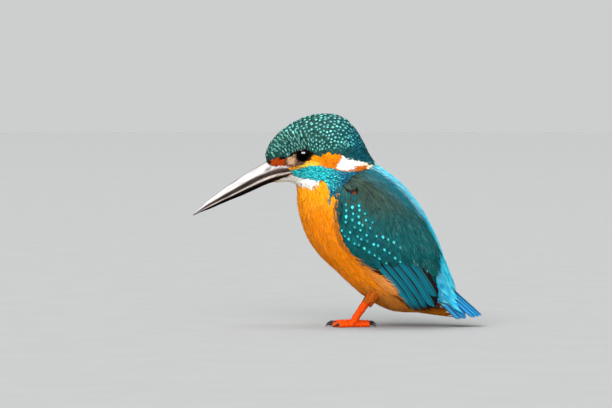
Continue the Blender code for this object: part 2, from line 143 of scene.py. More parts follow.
# Tones as sRGB bytes. The back's pale glint is a painted highlight, the dark maroon brown is painted shade,
# and the rust is partly painted shade on the thighs.
TONES = {
    "crown_dark": (34, 80, 74), "nape_dark": (2, 80, 90), "crown_spot": (116, 208, 202),
    "nape_spot": (36, 146, 164), "fore_spot": (106, 168, 152), "crown_fibre": (58, 146, 140),
    "nape_fibre": (40, 150, 200), "rim_fibre": (60, 186, 184),
    "lores": (200, 74, 10), "buff": (232, 190, 150), "soot": (20, 14, 12), "umber": (128, 90, 70),
    "stripe": (255, 216, 76), "ear": (255, 152, 12), "ear_rim": (222, 116, 14),
    "white": (252, 250, 242), "streak": (196, 100, 18), "cream": (248, 216, 160),
    "malar": (22, 168, 176), "malar_rear": (8, 88, 112), "malar_spot": (84, 226, 230),
    "malar_far": (22, 112, 146),
    "breast_high": (254, 164, 18), "breast": (246, 138, 10), "belly": (252, 140, 8),
    "vent": (246, 160, 76), "flank": (252, 190, 116), "painted_shade_brown": (66, 26, 16), "rust_and_shade": (176, 84, 16),
    "scapular": (58, 78, 66), "scapular_blue": (40, 118, 134), "teal": (2, 92, 96),
    "teal_light": (24, 128, 130), "dot": (74, 216, 218), "streak_pale": (132, 164, 150),
    "fringe": (70, 62, 48), "mantle": (8, 106, 118), "glint": (206, 240, 250),
    "azure": (6, 218, 250), "azure_light": (140, 240, 255), "azure_deep": (0, 130, 204),
    "tail": (0, 128, 206), "tail_light": (60, 194, 236), "flight": (0, 126, 146), "tertial": (0, 98, 96),
    "web": (30, 20, 20),
}


def linear(tone):
    """A named tone as linear colour."""
    c = np.array(TONES[tone]) / 255.0
    return np.where(c <= 0.04045, c / 12.92, ((c + 0.055) / 1.055) ** 2.4)


TONE = {name: linear(name) for name in TONES}


def ramp(values, low, high):
    """A smooth way from 0 at low to 1 at high."""
    t = np.clip((values - low) / (high - low), 0, 1)
    return t * t * (3 - 2 * t)


def mixed(one, other, share):
    """Colours between one and other, by the share of the other."""
    share = np.asarray(share)[..., None]
    return one * (1 - share) + other * share


def tracts(points):
    """The tract of the coat that each point of the form belongs to."""
    x, y, z = points[:, 0], np.abs(points[:, 1]), points[:, 2]
    kind = np.full(len(x), BREAST)
    wing = (x > WING_FRONT(z)) & (y > 3)
    kind[wing] = COVERT
    kind[wing & (z > SCAPULAR_LOW(x))] = SCAPULAR
    kind[wing & (z < FLIGHT_TOP(x)) & (x > 18)] = FLIGHT
    back = (x > WING_REAR(z)) & (z > 10.8 - np.clip(x - 45, 0, 8)) & (z < 71)
    kind[back] = BACK
    kind[(x > 30) & (x < 52) & (z < 10.5) & ~back & ~(wing & (y > 9))] = UNDERTAIL
    kind[(x > 36) & (z < 8.6) & (y < 9)] = UNDERTAIL
    head = (z > CROWN_EDGE(x)) & (x < 18) & ~((x > 14.2) & (z < 73 - (x - 14.2) * 1.2))
    kind[head] = CROWN
    face = ~head & (z > np.where(x > 2.0, STREAK_LOW(x), MALAR_TOP(x))) & (x < 15.5)
    face &= (x < 2) | (y > 2.2)
    kind[face] = FACE
    kind[face & (((x > WHITE_FRONT(z)) & (z > WHITE_LOW(x))) | (x > 12.4))] = WHITE
    kind[face & (x > 5) & ((y < 1.7) | ((y < 6) & (z < WHITE_LOW(x))))] = BACK
    malar = ~head & ~face & (z > MALAR_LOW(x)) & (x > -21.0) & (x < 8.2)
    kind[malar & (y > 3.2) & ~wing] = MALAR
    throat = ~head & ~face & (z > THROAT_LOW(x)) & (z <= MALAR_LOW(x)) & (x < -8.0)
    throat |= ~head & (x < -17.5) & (z > THROAT_LOW(x)) & ((y <= 3.2) | (z < MALAR_LOW(x))) & (z < 66)
    kind[throat] = WHITE
    kind[(x < -19.5) & (z < 63.9)] = WHITE
    kind[(x < -20.5) & (z < BILL_HIGH(x)) & (z > BILL_LOW(x))] = BARE
    eye = ((x - EYE_CENTRE[0]) / EYE_OPENING[0]) ** 2 + ((z - EYE_CENTRE[2]) / EYE_OPENING[1]) ** 2 < 1
    kind[eye & (y > 5)] = EYE
    kind[(kind == BREAST) & (x > 6) & (z > 62)] = BACK
    return kind


def shaded_back(points):
    """How far the upper back's darker sides reach at points, 0 along the middle of the back."""
    z = points[:, 2]
    return ramp(z, 31, 40) * ramp(np.abs(points[:, 1]) - 1.5 * ramp(z, 48, 56), 3, 7)


def tints(points, kind):
    """The coat's colour at points of a tract, for feathers and skin alike. It holds painted shade on the
    lower belly, beside the wing's lower edge and under the tail.
    """
    x, y, z = points[:, 0], np.abs(points[:, 1]), points[:, 2]
    crown = mixed(TONE["crown_dark"], TONE["nape_dark"], ramp(x, -4, 10))

    low = z - MALAR_TOP(x)
    face = mixed(TONE["ear"], TONE["ear_rim"], ramp(x - WHITE_FRONT(z), -3.5, 0) * 0.5)
    face = mixed(face, TONE["ear_rim"], ramp(-low, -6.0, -2.0) * ramp(x, -9, -4) * 0.8)
    stripe = ramp(-low, -1.9, -1.2) * ramp(-x, 6, 9) * (1 - ramp(-x, 13, 18) * 0.8)
    face = mixed(face, TONE["stripe"], stripe)
    from_buff = np.hypot((x + 19.4) / 1.6, (z - 71.2) / 1.7)
    buff = mixed(TONE["buff"], TONE["umber"], ramp(from_buff, 0.75, 1.25) * 0.7)
    for where, tone in (
        ((x < -17.6) & (low > 1.25), buff),
        ((x < -14.2) & (x > -21.8) & (low > 1.15) & (low < 2.2), TONE["umber"]),
        ((x < -13.4) & (x > -17.7) & (low > 1.15), TONE["umber"]),
        ((x < -21.3) & (low > 1.2), TONE["umber"] * 0.3),
        ((x < -22.2) & (low > 1.2), TONE["lores"]),
        ((x < -15.5) & (x > -25) & (CROWN_EDGE(x) - z < 1.05), TONE["soot"]),
        ((x < -28.4) | ((x < -21.5) & (z < BILL_HIGH(x) + 0.35)), TONE["soot"]),
        ((x > -12.6) & (x < -9.8) & (z > 73.2), TONE["soot"]),
        ((x > 1.5) & (z < WHITE_LOW(x)), TONE["streak"]),
    ):
        face = np.where(where[:, None], tone, face)

    white = mixed(TONE["white"], TONE["cream"], ramp(x, 8, 14) * 0.65 + ramp(-x, 22, 27) * 0.9)
    white = mixed(white, TONE["streak"] * 0.6, ramp(-x, 18.8, 20.2) * ramp(z, 63.8, 64.8))
    malar = mixed(TONE["malar"], TONE["malar_rear"], ramp(x, -6, 3))
    malar = mixed(malar, TONE["malar_rear"], ramp(-z, -62.5, -58.5) * 0.8)

    breast = mixed(TONE["breast_high"], TONE["breast"], ramp(-z, -58, -44))
    breast = mixed(breast, TONE["belly"], ramp(-z, -36, -20))
    breast = mixed(breast, TONE["vent"], ramp(-z, -20, -9) * ramp(y, 0, 5))
    # Painted shade: the breast's orange darkens towards the underside.
    breast = mixed(breast, TONE["breast"] * 0.4, ramp(-z, -22, -9) * 0.75)
    patchy = ramp(np.sin(1.9 * x + 0.7 * z) + np.sin(1.3 * z - 0.8 * x + 0.5 * y), 0.6, 1.6)
    patchy = patchy * ramp(-y, -11, -4) * ramp(z, 22, 28) * ramp(-z, -56, -50) * 0.45
    breast = mixed(breast, TONE["rust_and_shade"], patchy)
    # Painted shade: dark brown on the breast just in front of the wing's lower edge, near its tips.
    shade = ramp(x - WING_FRONT(z), -2.4, -1.0) * ramp(-z, -15.5, -13.0) * ramp(y, 3, 6)
    breast = mixed(breast, TONE["painted_shade_brown"], shade * 0.9)
    # Painted shade: the undertail is darker than the breast, and dark brown towards the wing tips above it.
    shade = ramp(z, 5.8, 7.4) * ramp(x, 25, 28) * ramp(y, 2, 5)
    undertail = mixed(TONE["breast"] * 0.6, TONE["painted_shade_brown"], shade * 0.9)

    scapular = mixed(TONE["scapular"], TONE["teal"], ramp(-z, -56, -40))
    blue = ramp(x - WING_REAR(z), -7, -1) * ramp(z, 46, 56)
    scapular = mixed(scapular, TONE["scapular_blue"], blue * 0.55)
    edging = ramp(WING_FRONT(z) - x, -1.2, -0.1) * ramp(z, 34, 40)
    covert = mixed(TONE["teal"], TONE["fringe"], edging * 0.3)
    azure = mixed(TONE["azure"], TONE["azure_deep"], ramp(y, 4, 9) * 0.5 + ramp(-z, -20, -10) * 0.25)
    azure = mixed(azure, TONE["mantle"], shaded_back(points) * 0.95)

    out = np.zeros((len(x), 3))
    for tract, colours in (
        (CROWN, crown), (FACE, face), (WHITE, white), (MALAR, malar),
        (BREAST, breast), (UNDERTAIL, undertail), (SCAPULAR, scapular), (COVERT, covert),
        (BACK, azure), (FLIGHT, TONE["web"]), (BARE, TONE["web"]), (EYE, TONE["soot"]),
    ):
        mine = np.broadcast_to(kind == tract, len(x))
        out[mine] = np.broadcast_to(colours, out.shape)[mine]
    return out


# ---------------------------------------------------------------- the form

# The form is the solids swelled, remeshed at a voxel size and smoothed in some rounds.
SWELL, VOXEL, ROUNDS = 0.2, 0.6, 7
# The feathers don't follow solids whose names begin so.
SMALL_NODES = ("leg_", "foot_", "claw_")


def saved(edit, name):
    """An edited mesh as a new mesh."""
    mesh = bpy.data.meshes.new(name)
    edit.to_mesh(mesh)
    edit.free()
    return mesh


def linked(data):
    """An object of the scene, with its data's name."""
    obj = bpy.data.objects.new(data.name, data)
    bpy.context.scene.collection.objects.link(obj)
    return obj


def union_form(names):
    """One smooth closed mesh round the named solids, in millimetres."""
    edit = bmesh.new()
    for name in names:
        edit.from_mesh(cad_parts[name].data)
    bmesh.ops.remove_doubles(edit, verts=edit.verts, dist=1e-6)
    edit.normal_update()
    for vertex in edit.verts:
        vertex.co = (vertex.co + vertex.normal * SWELL * MM) / MM
    obj = linked(saved(edit, "form"))
    remesh = obj.modifiers.new("remesh", "REMESH")
    remesh.mode = "VOXEL"
    remesh.voxel_size = VOXEL
    smooth = obj.modifiers.new("smooth", "SMOOTH")
    smooth.factor = 0.5
    smooth.iterations = ROUNDS
    made = bpy.data.meshes.new_from_object(obj.evaluated_get(bpy.context.evaluated_depsgraph_get()))
    bpy.data.objects.remove(obj, do_unlink=True)
    return made


class Surface:
    """A mesh that points can be laid on."""

    def __init__(self, mesh):
        count = len(mesh.vertices)
        self.points = np.empty(count * 3)
        mesh.vertices.foreach_get("co", self.points)
        self.points = self.points.reshape(-1, 3)
        mesh.calc_loop_triangles()
        corners = np.empty(len(mesh.loop_triangles) * 3, int)
        mesh.loop_triangles.foreach_get("vertices", corners)
        self.corners = corners.reshape(-1, 3)
        a, b, c = (self.points[self.corners[:, k]] for k in range(3))
        cross = np.cross(b - a, c - a)
        self.area = np.linalg.norm(cross, axis=1) / 2
        self.vertex_normals = np.zeros_like(self.points)
        for k in range(3):
            np.add.at(self.vertex_normals, self.corners[:, k], cross)
        self.vertex_normals /= np.linalg.norm(self.vertex_normals, axis=1)[:, None] + 1e-12
        facing = self.vertex_normals[self.corners].mean(axis=1)
        self.normals = facing / np.linalg.norm(facing, axis=1)[:, None]
        self.tree = BVHTree.FromPolygons(self.points.tolist(), self.corners.tolist())

    def nearest(self, points):
        """The places on the surface nearest to points, and its normals there."""
        find = self.tree.find_nearest
        hits = [find(p) for p in points.tolist()]
        places = np.array([h[0][:] for h in hits])
        return places, self.normals[[h[2] for h in hits]]

    def scatter(self, count, rng):
        """Random points, spread evenly over the surface."""
        chosen = rng.choice(len(self.area), count, p=self.area / self.area.sum())
        u, v = rng.random((2, count))
        flip = u + v > 1
        u[flip], v[flip] = 1 - u[flip], 1 - v[flip]
        a, b, c = (self.points[self.corners[chosen, k]] for k in range(3))
        return a + (b - a) * u[:, None] + (c - a) * v[:, None]


def comb_guides():
    """The strokes of the comb, with those of the crown's arcs that lie on the crown."""
    guides = list(COMB)
    for radius, angle in CROWN_COMB:
        turn = math.radians(angle)
        x = CROWN_CENTRE[0] + radius * math.cos(turn)
        z = CROWN_CENTRE[1] + radius * math.sin(turn)
        if z > CROWN_EDGE(x) + (3 if x > 0 else -1):
            guides.append((x, z, angle - 90))
    return np.array(guides, float)


GUIDES = comb_guides()


def lie(points):
    """The way that the coat lies at points, in the XZ plane."""
    dx = points[:, 0, None] - GUIDES[None, :, 0]
    dz = points[:, 2, None] - GUIDES[None, :, 1]
    weight = 1 / (dx * dx + dz * dz + COMB_SOFT**2) ** 2
    turn = np.radians(GUIDES[:, 2])
    across = weight @ np.stack([np.cos(turn), np.zeros_like(turn), np.sin(turn)], axis=1)
    return across / (np.linalg.norm(across, axis=1)[:, None] + 1e-12)


def laid_flat(ways, normals):
    """Directions turned into the plane that is square to the normals."""
    flat = ways - (ways * normals).sum(axis=1)[:, None] * normals
    return flat / (np.linalg.norm(flat, axis=1)[:, None] + 1e-9)


def walk(surface, roots, reach, steps, turn, free=None):
    """Centrelines from roots over the surface: places, normals and ways, each (steps + 1, count, 3).

    Those that are free leave the surface and run straight on.
    """
    place = np.array(roots, float)
    rows = [[], [], []]
    for k in range(steps + 1):
        near, facing = surface.nearest(place)
        if free is None or k == 0:
            place, normal = near, facing
        else:
            place = np.where(free[:, None], place, near)
            normal = np.where(free[:, None], normal, facing)
        way = laid_flat(lie(place), normal)
        side = np.cross(normal, way)
        way = way * np.cos(turn)[:, None] + side * np.sin(turn)[:, None]
        for row, value in zip(rows, (place, normal, way)):
            row.append(value)
        place = place + way * (reach / steps)[:, None]
    return [np.array(row) for row in rows]


# Steps from a cell of a grid to itself and to the 26 cells round it.
NEIGHBOURS = list(itertools.product((-1, 0, 1), repeat=3))


def thinned(points, spacing, rng):
    """Points in a random order, less those nearer than the spacing to one kept before."""
    kept, cells = [], {}
    for p in points[rng.permutation(len(points))].tolist():
        i, j, k = (math.floor(v / spacing) for v in p)
        near = (q for a, b, c in NEIGHBOURS for q in cells.get((i + a, j + b, k + c), ()))
        if all(math.dist(p, q) >= spacing for q in near):
            kept.append(p)
            cells.setdefault((i, j, k), []).append(p)
    return np.array(kept)


def skin_place(points):
    """Where points lie on an unwrap of the skin: along the body, and round it."""
    rows = np.array(SKIN_ROWS)
    top, low = rows[:, :2], rows[:, 2:]
    here = points[:, [0, 2]]
    span = top - low
    cross = span[:, 0] * (here[:, 1:] - low[:, 1]) - span[:, 1] * (here[:, :1] - low[:, 0])
    away = -cross / np.linalg.norm(span, axis=1)
    passed = (away > 0).sum(axis=1).clip(1, len(rows) - 1)
    before = np.take_along_axis(away, passed[:, None] - 1, 1)
    after = np.take_along_axis(away, passed[:, None], 1)
    share = np.clip(before / (before - after + 1e-9), 0, 1)
    t = top[passed - 1] + (top[passed] - top[passed - 1]) * share
    b = low[passed - 1] + (low[passed] - low[passed - 1]) * share
    length = np.linalg.norm(t - b, axis=1)
    up = ((here - b) * (t - b)).sum(axis=1) / length - length / 2
    turn = np.arctan2(points[:, 1], up)
    return np.stack([(passed - 1 + share[:, 0]) / (len(rows) - 1), 0.5 + turn / (2 * math.pi)], axis=1)


# ---------------------------------------------------------------- vanes

# Sizes on the map OFBake: the patch of a small and of a long feather, and the map's empty edge.
TUFT_PATCH, LONG_PATCH = 0.003, 0.025
MAP_EDGE = 0.02


def vane_faces(steps, columns):
    """The faces of one closed vane: an arched upper side, a flat underside and two ends."""
    faces = []
    for a in range(0, steps * columns, columns):
        b = a + columns
        faces += [[a + j, a + j + 1, b + j + 1, b + j] for j in range(columns - 1)]
    for a in range(0, steps * columns, columns):
        faces.append([a + columns - 1, a, a + columns, a + 2 * columns - 1])
    faces.append(list(range(columns))[::-1])
    faces.append(list(range(steps * columns, (steps + 1) * columns)))
    return faces


def mesh_of(name, points, faces, count=1):
    """A mesh of `count` copies of a set of faces over points, which are in millimetres."""
    block = len(points) // count
    sizes = np.array([len(f) for f in faces])
    flat = np.array([v for f in faces for v in f])
    loops = (flat[None] + (np.arange(count) * block)[:, None]).ravel()
    sizes = np.tile(sizes, count)
    mesh = bpy.data.meshes.new(name)
    mesh.vertices.add(len(points))
    mesh.vertices.foreach_set("co", (np.asarray(points) * MM).ravel())
    mesh.loops.add(len(loops))
    mesh.loops.foreach_set("vertex_index", loops)
    mesh.polygons.add(len(sizes))
    mesh.polygons.foreach_set("loop_start", np.concatenate([[0], np.cumsum(sizes)[:-1]]))
    mesh.polygons.foreach_set("loop_total", sizes)
    mesh.update(calc_edges=True)
    mesh.validate()
    return mesh, loops


def paint(mesh, name, values):
    """A value at each vertex, as a colour of four numbers or a vector of three."""
    kind = "FLOAT_COLOR" if values.shape[1] == 4 else "FLOAT_VECTOR"
    layer = mesh.attributes.new(name, kind, "POINT")
    layer.data.foreach_set("color" if kind == "FLOAT_COLOR" else "vector", values.ravel())


def with_alpha(colours, alpha=1.0):
    """Colours of four numbers from those of three."""
    return np.concatenate([colours, np.broadcast_to(alpha, len(colours))[:, None]], axis=1)


class Vanes:
    """Feathers of one tract, gathered and then made into one piece, or into one for each side."""

    def __init__(self, steps, columns):
        self.steps, self.columns = steps, columns
        self.parts = []

    def add(self, rows, half_width, outline, lift, arch, root_tone, tip_tone, rng, spot=None,
            bend=14.0, fray=0.0, skew=0.0, ruffle=0.03):
        """Feathers along centrelines. lift is (root, tip), or a row of values for each step."""
        places, normals, ways = rows
        count = places.shape[1]
        across = np.linspace(-1, 1, self.columns)
        t = np.linspace(0, 1, self.steps + 1)
        width = np.broadcast_to(half_width, count) * outline_of(self.steps, outline)[:, None]
        level = lifts(self.steps, *lift)[:, None] if isinstance(lift, tuple) else lift
        level = level + rng.normal(0, ruffle, count) * t[:, None] ** 2
        out = width[:, :, None] * across
        rise = level[:, :, None] + arch * width[:, :, None] * (1 - across**2) - out**2 / (2 * bend)
        jag = rng.uniform(-1, 1, (count, self.columns)) * fray
        jag[:, 1::2] += fray * 0.5
        reach = np.linalg.norm(places[-1] - places[0], axis=1)
        push = (t**3)[:, None, None] * (reach[:, None] * jag) + skew * out * (t**2)[:, None, None]
        points = places[:, :, None, :] + np.cross(normals, ways)[:, :, None, :] * out[..., None]
        points = points + normals[:, :, None, :] * rise[..., None] + ways[:, :, None, :] * push[..., None]
        tone = root_tone + (tip_tone - root_tone) * (t**0.8)[:, None, None]
        vane = np.empty(points.shape)
        vane[..., 0] = across
        vane[..., 1] = t[:, None, None]
        vane[..., 2] = rng.random(count)[:, None]
        spot = np.zeros((count, 4)) if spot is None else spot
        values = [points, np.broadcast_to(tone[:, :, None, :], points.shape), vane,
                  np.broadcast_to(spot[:, None, :], points.shape[:3] + (4,))]
        values = [v.transpose(1, 0, 2, 3).reshape(-1, v.shape[-1]) for v in values]
        self.parts.append([*values, places[0]])

    def make(self, name, material, slot, by_side=False, patch=TUFT_PATCH):
        """The pieces, with their map OFBake: a patch for each feather at its root's place on the skin."""
        points, tone, vane, spots, roots = (np.concatenate(a) for a in zip(*self.parts))
        block = (self.steps + 1) * self.columns
        sides = (roots[:, 1] > 0) & by_side
        corner = np.meshgrid(*(np.linspace(-0.5, 0.5, n) for n in (self.columns, self.steps + 1)))
        corner = np.stack(corner, axis=2).reshape(-1, 2) * patch
        pieces = []
        for k, label in enumerate(("_left", "_right") if by_side else ("",)):
            mine = np.flatnonzero(sides == k)
            pick = (mine[:, None] * block + np.arange(block)).ravel()
            mesh, loops = mesh_of(name + label, points[pick], vane_faces(self.steps, self.columns), len(mine))
            paint(mesh, "Tone", with_alpha(tone[pick]))
            paint(mesh, "Vane", vane[pick])
            paint(mesh, "Spot", spots[pick])
            place = skin_place(roots[mine])
            low, high = place.min(axis=0), place.max(axis=0)
            edge = MAP_EDGE + patch / 2
            place = edge + (1 - 2 * edge) * (place - low) / (high - low + 1e-9)
            spread = (place[:, None, :] + corner).reshape(-1, 2)
            mesh.uv_layers.new(name="OFBake").uv.foreach_set("vector", spread[loops].ravel())
            pieces.append(place_piece(mesh, material))
        return pieces


def place_piece(mesh, material, sharp=50):
    """A smooth piece of the model, named as its mesh, with edges sharp past an angle in degrees."""
    mesh.polygons.foreach_set("use_smooth", np.ones(len(mesh.polygons), bool))
    mesh.set_sharp_from_angle(angle=math.radians(sharp))
    mesh.materials.append(material)
    obj = linked(mesh)
    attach(obj, "root")
    return obj


# ---------------------------------------------------------------- materials


class Shader:
    """A node material that is written down node by node."""

    def __init__(self, name):
        self.material = bpy.data.materials.new(name)
        self.material.use_nodes = True
        self.tree = self.material.node_tree
        self.tree.nodes.clear()

    def add(self, kind, inputs=None, **settings):
        node = self.tree.nodes.new("ShaderNode" + kind)
        for key, value in settings.items():
            setattr(node, key, value)
        for key, value in (inputs or {}).items():
            if isinstance(value, bpy.types.NodeSocket):
                self.tree.links.new(value, node.inputs[key])
            else:
                node.inputs[key].default_value = value
        return node

    def math(self, operation, a, b=0.0):
        return self.add("Math", {0: a, 1: b}, operation=operation).outputs[0]

    def mix(self, share, a, b, blend="MIX"):
        return self.add("Mix", {0: share, 6: a, 7: b}, data_type="RGBA", blend_type=blend).outputs[2]

    def shaded(self, colour, value):
        """A colour times a value."""
        grey = self.add("CombineColor", {0: value, 1: value, 2: value}).outputs[0]
        return self.mix(1.0, colour, grey, "MULTIPLY")

    def fade(self, value, low, high, start=0.0, end=1.0):
        """A value's smooth way from low to high, as one from start to end."""
        inputs = {0: value, 1: low, 2: high, 3: start, 4: end}
        return self.add("MapRange", inputs, interpolation_type="SMOOTHSTEP").outputs[0]

    def square(self, value):
        return self.math("MULTIPLY", value, value)

    def painted(self, name):
        return self.add("Attribute", attribute_name=name).outputs

    def place(self):
        return self.add("TexCoord").outputs["Object"]

    def axes(self, vector):
        return self.add("SeparateXYZ", {0: vector}).outputs

    def noise(self, scale, detail, place=None):
        inputs = {"Vector": self.place() if place is None else place, "Scale": scale, "Detail": detail}
        return self.add("TexNoise", inputs).outputs["Fac"]

    def bump(self, height, distance, strength):
        inputs = {"Height": height, "Distance": distance, "Strength": strength}
        return self.add("Bump", inputs).outputs[0]

    def finish(self, **sockets):
        """The material. A socket's name has an underscore for each space."""
        sockets = {name.replace("_", " "): value for name, value in sockets.items()}
        self.add("OutputMaterial", {"Surface": self.add("BsdfPrincipled", sockets).outputs[0]})
        return self.material


WEB = (*TONE["web"], 1.0)


def plumage(name, roughness, sheen, specular, barbs=26.0, depth=0.35, spot_at=0.8, spot_long=0.1,
            spot_wide=0.4, rachis=0.25, web=None, rim=None, speckle=0.25, soft=(0.7, 1.35)):
    """Feather vanes: barbs swept back from a shaft, a spot near the tip and, if asked, a dark web or rim."""
    s = Shader(name)
    spot = s.painted("Spot")
    across, along, chance = s.axes(s.painted("Vane")["Vector"])
    out = s.math("ABSOLUTE", across)
    swept = s.math("SUBTRACT", along, s.math("MULTIPLY", out, 0.22))
    phase = s.math("ADD", s.math("MULTIPLY", swept, barbs * 6.283), s.math("MULTIPLY", chance, 40.0))
    wave = s.fade(s.math("SINE", phase), -1.0, 1.0)
    fine = s.noise(2600.0, 3.0)
    shade = s.fade(wave, 0.0, 1.0, 1 - depth, 1.0)
    shade = s.math("MULTIPLY", shade, s.fade(fine, 0.25, 0.75, 1 - speckle, 1.1))
    shade = s.math("MULTIPLY", shade, s.fade(chance, 0.0, 1.0, 0.86, 1.12))
    colour = s.shaded(s.painted("Tone")["Color"], shade)
    colour = s.mix(s.fade(out, 0.05, 0.14, rachis, 0.0), colour, (0.01, 0.01, 0.01, 1.0))
    if rim is not None:
        colour = s.mix(s.fade(out, rim, rim + 0.12, 0.0, 0.75), colour, WEB)
    if web is not None:
        colour = s.mix(s.fade(across, web, web + 0.16), colour, WEB)
    long = s.math("DIVIDE", s.math("SUBTRACT", along, spot_at), spot_long)
    wide = s.math("DIVIDE", out, spot_wide)
    from_spot = s.math("ADD", s.square(long), s.square(wide))
    from_spot = s.math("MULTIPLY", from_spot, s.fade(chance, 0.0, 1.0, 0.75, 1.7))
    inside = s.fade(from_spot, *soft, 1.0, 0.0)
    colour = s.mix(s.math("MULTIPLY", inside, spot["Alpha"]), colour, spot["Color"])
    return s.finish(
        Base_Color=colour, Roughness=s.fade(fine, 0.2, 0.8, roughness - 0.06, roughness + 0.08),
        Normal=s.bump(wave, 0.00006, 0.35), Sheen_Weight=sheen, Sheen_Roughness=0.4,
        Specular_IOR_Level=specular,
    )


def skin_material():
    s = Shader("skin")
    down = s.noise(900.0, 4.0)
    colour = s.shaded(s.painted("Tone")["Color"], s.fade(down, 0.3, 0.7, 0.6, 0.95))
    return s.finish(
        Base_Color=colour, Roughness=s.fade(down, 0.2, 0.8, 0.75, 0.95), Normal=s.bump(down, 0.0002, 0.5),
    )


def horn_material(name, root_share, roughness, coat, specular):
    """Bill horn, streaked along its length, and reddish at its root."""
    s = Shader(name)
    place = s.place()
    inputs = {"Vector": place, "Rotation": (0.0, -BILL_SLOPE, 0.0), "Scale": (9.0, 1.0, 1.0)}
    along = s.add("Mapping", inputs, vector_type="TEXTURE").outputs[0]
    streak, fine = s.noise(900.0, 4.0, along), s.noise(3000.0, 2.0, along)
    colour = s.shaded(s.painted("Tone")["Color"], s.fade(streak, 0.35, 0.65, 0.55, 1.15))
    root = s.fade(s.axes(place)[0], -0.033, -0.0215)
    colour = s.mix(s.math("MULTIPLY", root, root_share), colour, (0.13, 0.036, 0.02, 1.0))
    return s.finish(
        Base_Color=colour, Roughness=s.fade(streak, 0.2, 0.8, *roughness),
        Normal=s.bump(s.math("ADD", streak, fine), 0.00004, 0.4), Coat_Weight=coat, Coat_Roughness=0.3,
        Specular_IOR_Level=specular,
    )


def eye_material():
    """A glossy, near black ball with a faint brown iris round its pupil."""
    s = Shader("eye_gloss")
    x, _, z = s.axes(s.place())
    dx = s.math("SUBTRACT", x, EYE_CENTRE[0] * MM)
    dz = s.math("SUBTRACT", z, EYE_CENTRE[2] * MM)
    away = s.math("SQRT", s.math("ADD", s.square(dx), s.square(dz)))
    grain = s.noise(1800.0, 3.0)
    iris = s.mix(s.fade(grain, 0.3, 0.7), (0.002, 0.001, 0.0008, 1.0), (0.005, 0.0022, 0.0012, 1.0))
    colour = s.mix(s.fade(away, 0.0017, 0.0021), (0.001, 0.001, 0.001, 1.0), iris)
    return s.finish(
        Base_Color=colour, Roughness=s.fade(grain, 0.2, 0.8, 0.02, 0.035), Specular_IOR_Level=1.0,
        Coat_Weight=1.0, Coat_Roughness=0.02,
    )


def flesh_material(name, low, high, roughness, scale, coat=0.1, specular=0.25):
    """Bare skin of lids, legs and toes, or claw horn, with scales and creases."""
    s = Shader(name)
    cells = s.add("TexVoronoi", {"Vector": s.place(), "Scale": scale}, feature="DISTANCE_TO_EDGE")
    seam = s.fade(cells.outputs["Distance"], 0.0, 0.12)
    grain = s.noise(1500.0, 3.0)
    colour = s.mix(s.fade(grain, 0.3, 0.7), (*low, 1.0), (*high, 1.0))
    crease = (low[0] * 0.35, low[1] * 0.3, low[2] * 0.3, 1.0)
    colour = s.mix(s.fade(seam, 0.0, 1.0, 0.35, 0.0), colour, crease)
    height = s.math("ADD", seam, s.math("MULTIPLY", grain, 0.3))
    return s.finish(
        Base_Color=colour, Roughness=s.fade(grain, 0.2, 0.8, roughness - 0.05, roughness + 0.1),
        Normal=s.bump(height, 0.00008, 0.6), Coat_Weight=coat, Coat_Roughness=0.3,
        Subsurface_Weight=0.05, Subsurface_Scale=0.001, Specular_IOR_Level=specular,
    )


def floor_material():
    s = Shader("pale_floor")
    grain = s.noise(40.0, 5.0)
    colour = s.mix(s.fade(grain, 0.3, 0.7), (0.297, 0.302, 0.302, 1.0), (0.305, 0.310, 0.310, 1.0))
    return s.finish(Base_Color=colour, Roughness=s.fade(grain, 0.2, 0.8, 0.7, 0.8), Specular_IOR_Level=0.0)


# ---------------------------------------------------------------- skin

# Planes that end the skin at the bill and at the tail: a point, and the side that is cut off.
BILL_CLIP = ((-32.5, 0.0, 66.0), (-0.83, 0.0, -0.55))
TAIL_CLIP = ((51.5, 0.0, 12.0), (0.75, 0.0, -0.66))
# How deep the skin lies under the solids' outline, how much less on the head, and how much more where the
# horn of the bill and the eyeball cover it.
COAT_DEPTH, HEAD_LESS, BARE_MORE, EYE_MORE = 1.1, 0.55, 0.9, 1.8


def make_skin(form):
    """One skin for head, neck, trunk and wings, inside the form by the depth of the coat."""
    head = ramp(-form.points[:, 0], -6, 6) * ramp(form.points[:, 2], 60, 66)
    kinds = tracts(form.points)
    depth = SWELL + COAT_DEPTH - HEAD_LESS * head + BARE_MORE * (kinds == BARE) + EYE_MORE * (kinds == EYE)
    mesh, _ = mesh_of("skin", form.points - form.vertex_normals * depth[:, None], form.corners.tolist())
    edit = bmesh.new()
    edit.from_mesh(mesh)
    bmesh.ops.smooth_vert(
        edit, verts=edit.verts, factor=0.5, use_axis_x=True, use_axis_y=True, use_axis_z=True)
    for spot, away in (BILL_CLIP, TAIL_CLIP):
        cut = bmesh.ops.bisect_plane(
            edit, geom=edit.verts[:] + edit.edges[:] + edit.faces[:],
            plane_co=Vector(spot) * MM, plane_no=away, clear_outer=True)
        rim = [e for e in cut["geom_cut"] if isinstance(e, bmesh.types.BMEdge)]
        bmesh.ops.edgeloop_fill(edit, edges=rim)
    bmesh.ops.triangulate(edit, faces=edit.faces)
    edit.to_mesh(mesh)
    edit.free()
    where = np.empty(len(mesh.vertices) * 3)
    mesh.vertices.foreach_get("co", where)
    where = where.reshape(-1, 3) / MM
    paint(mesh, "Tone", with_alpha(tints(where, tracts(where))))
    skin = place_piece(mesh, skin_material(), sharp=80)
    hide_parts("head", "neck", "trunk", "wing_left", "wing_right")


# ---------------------------------------------------------------- small feathers


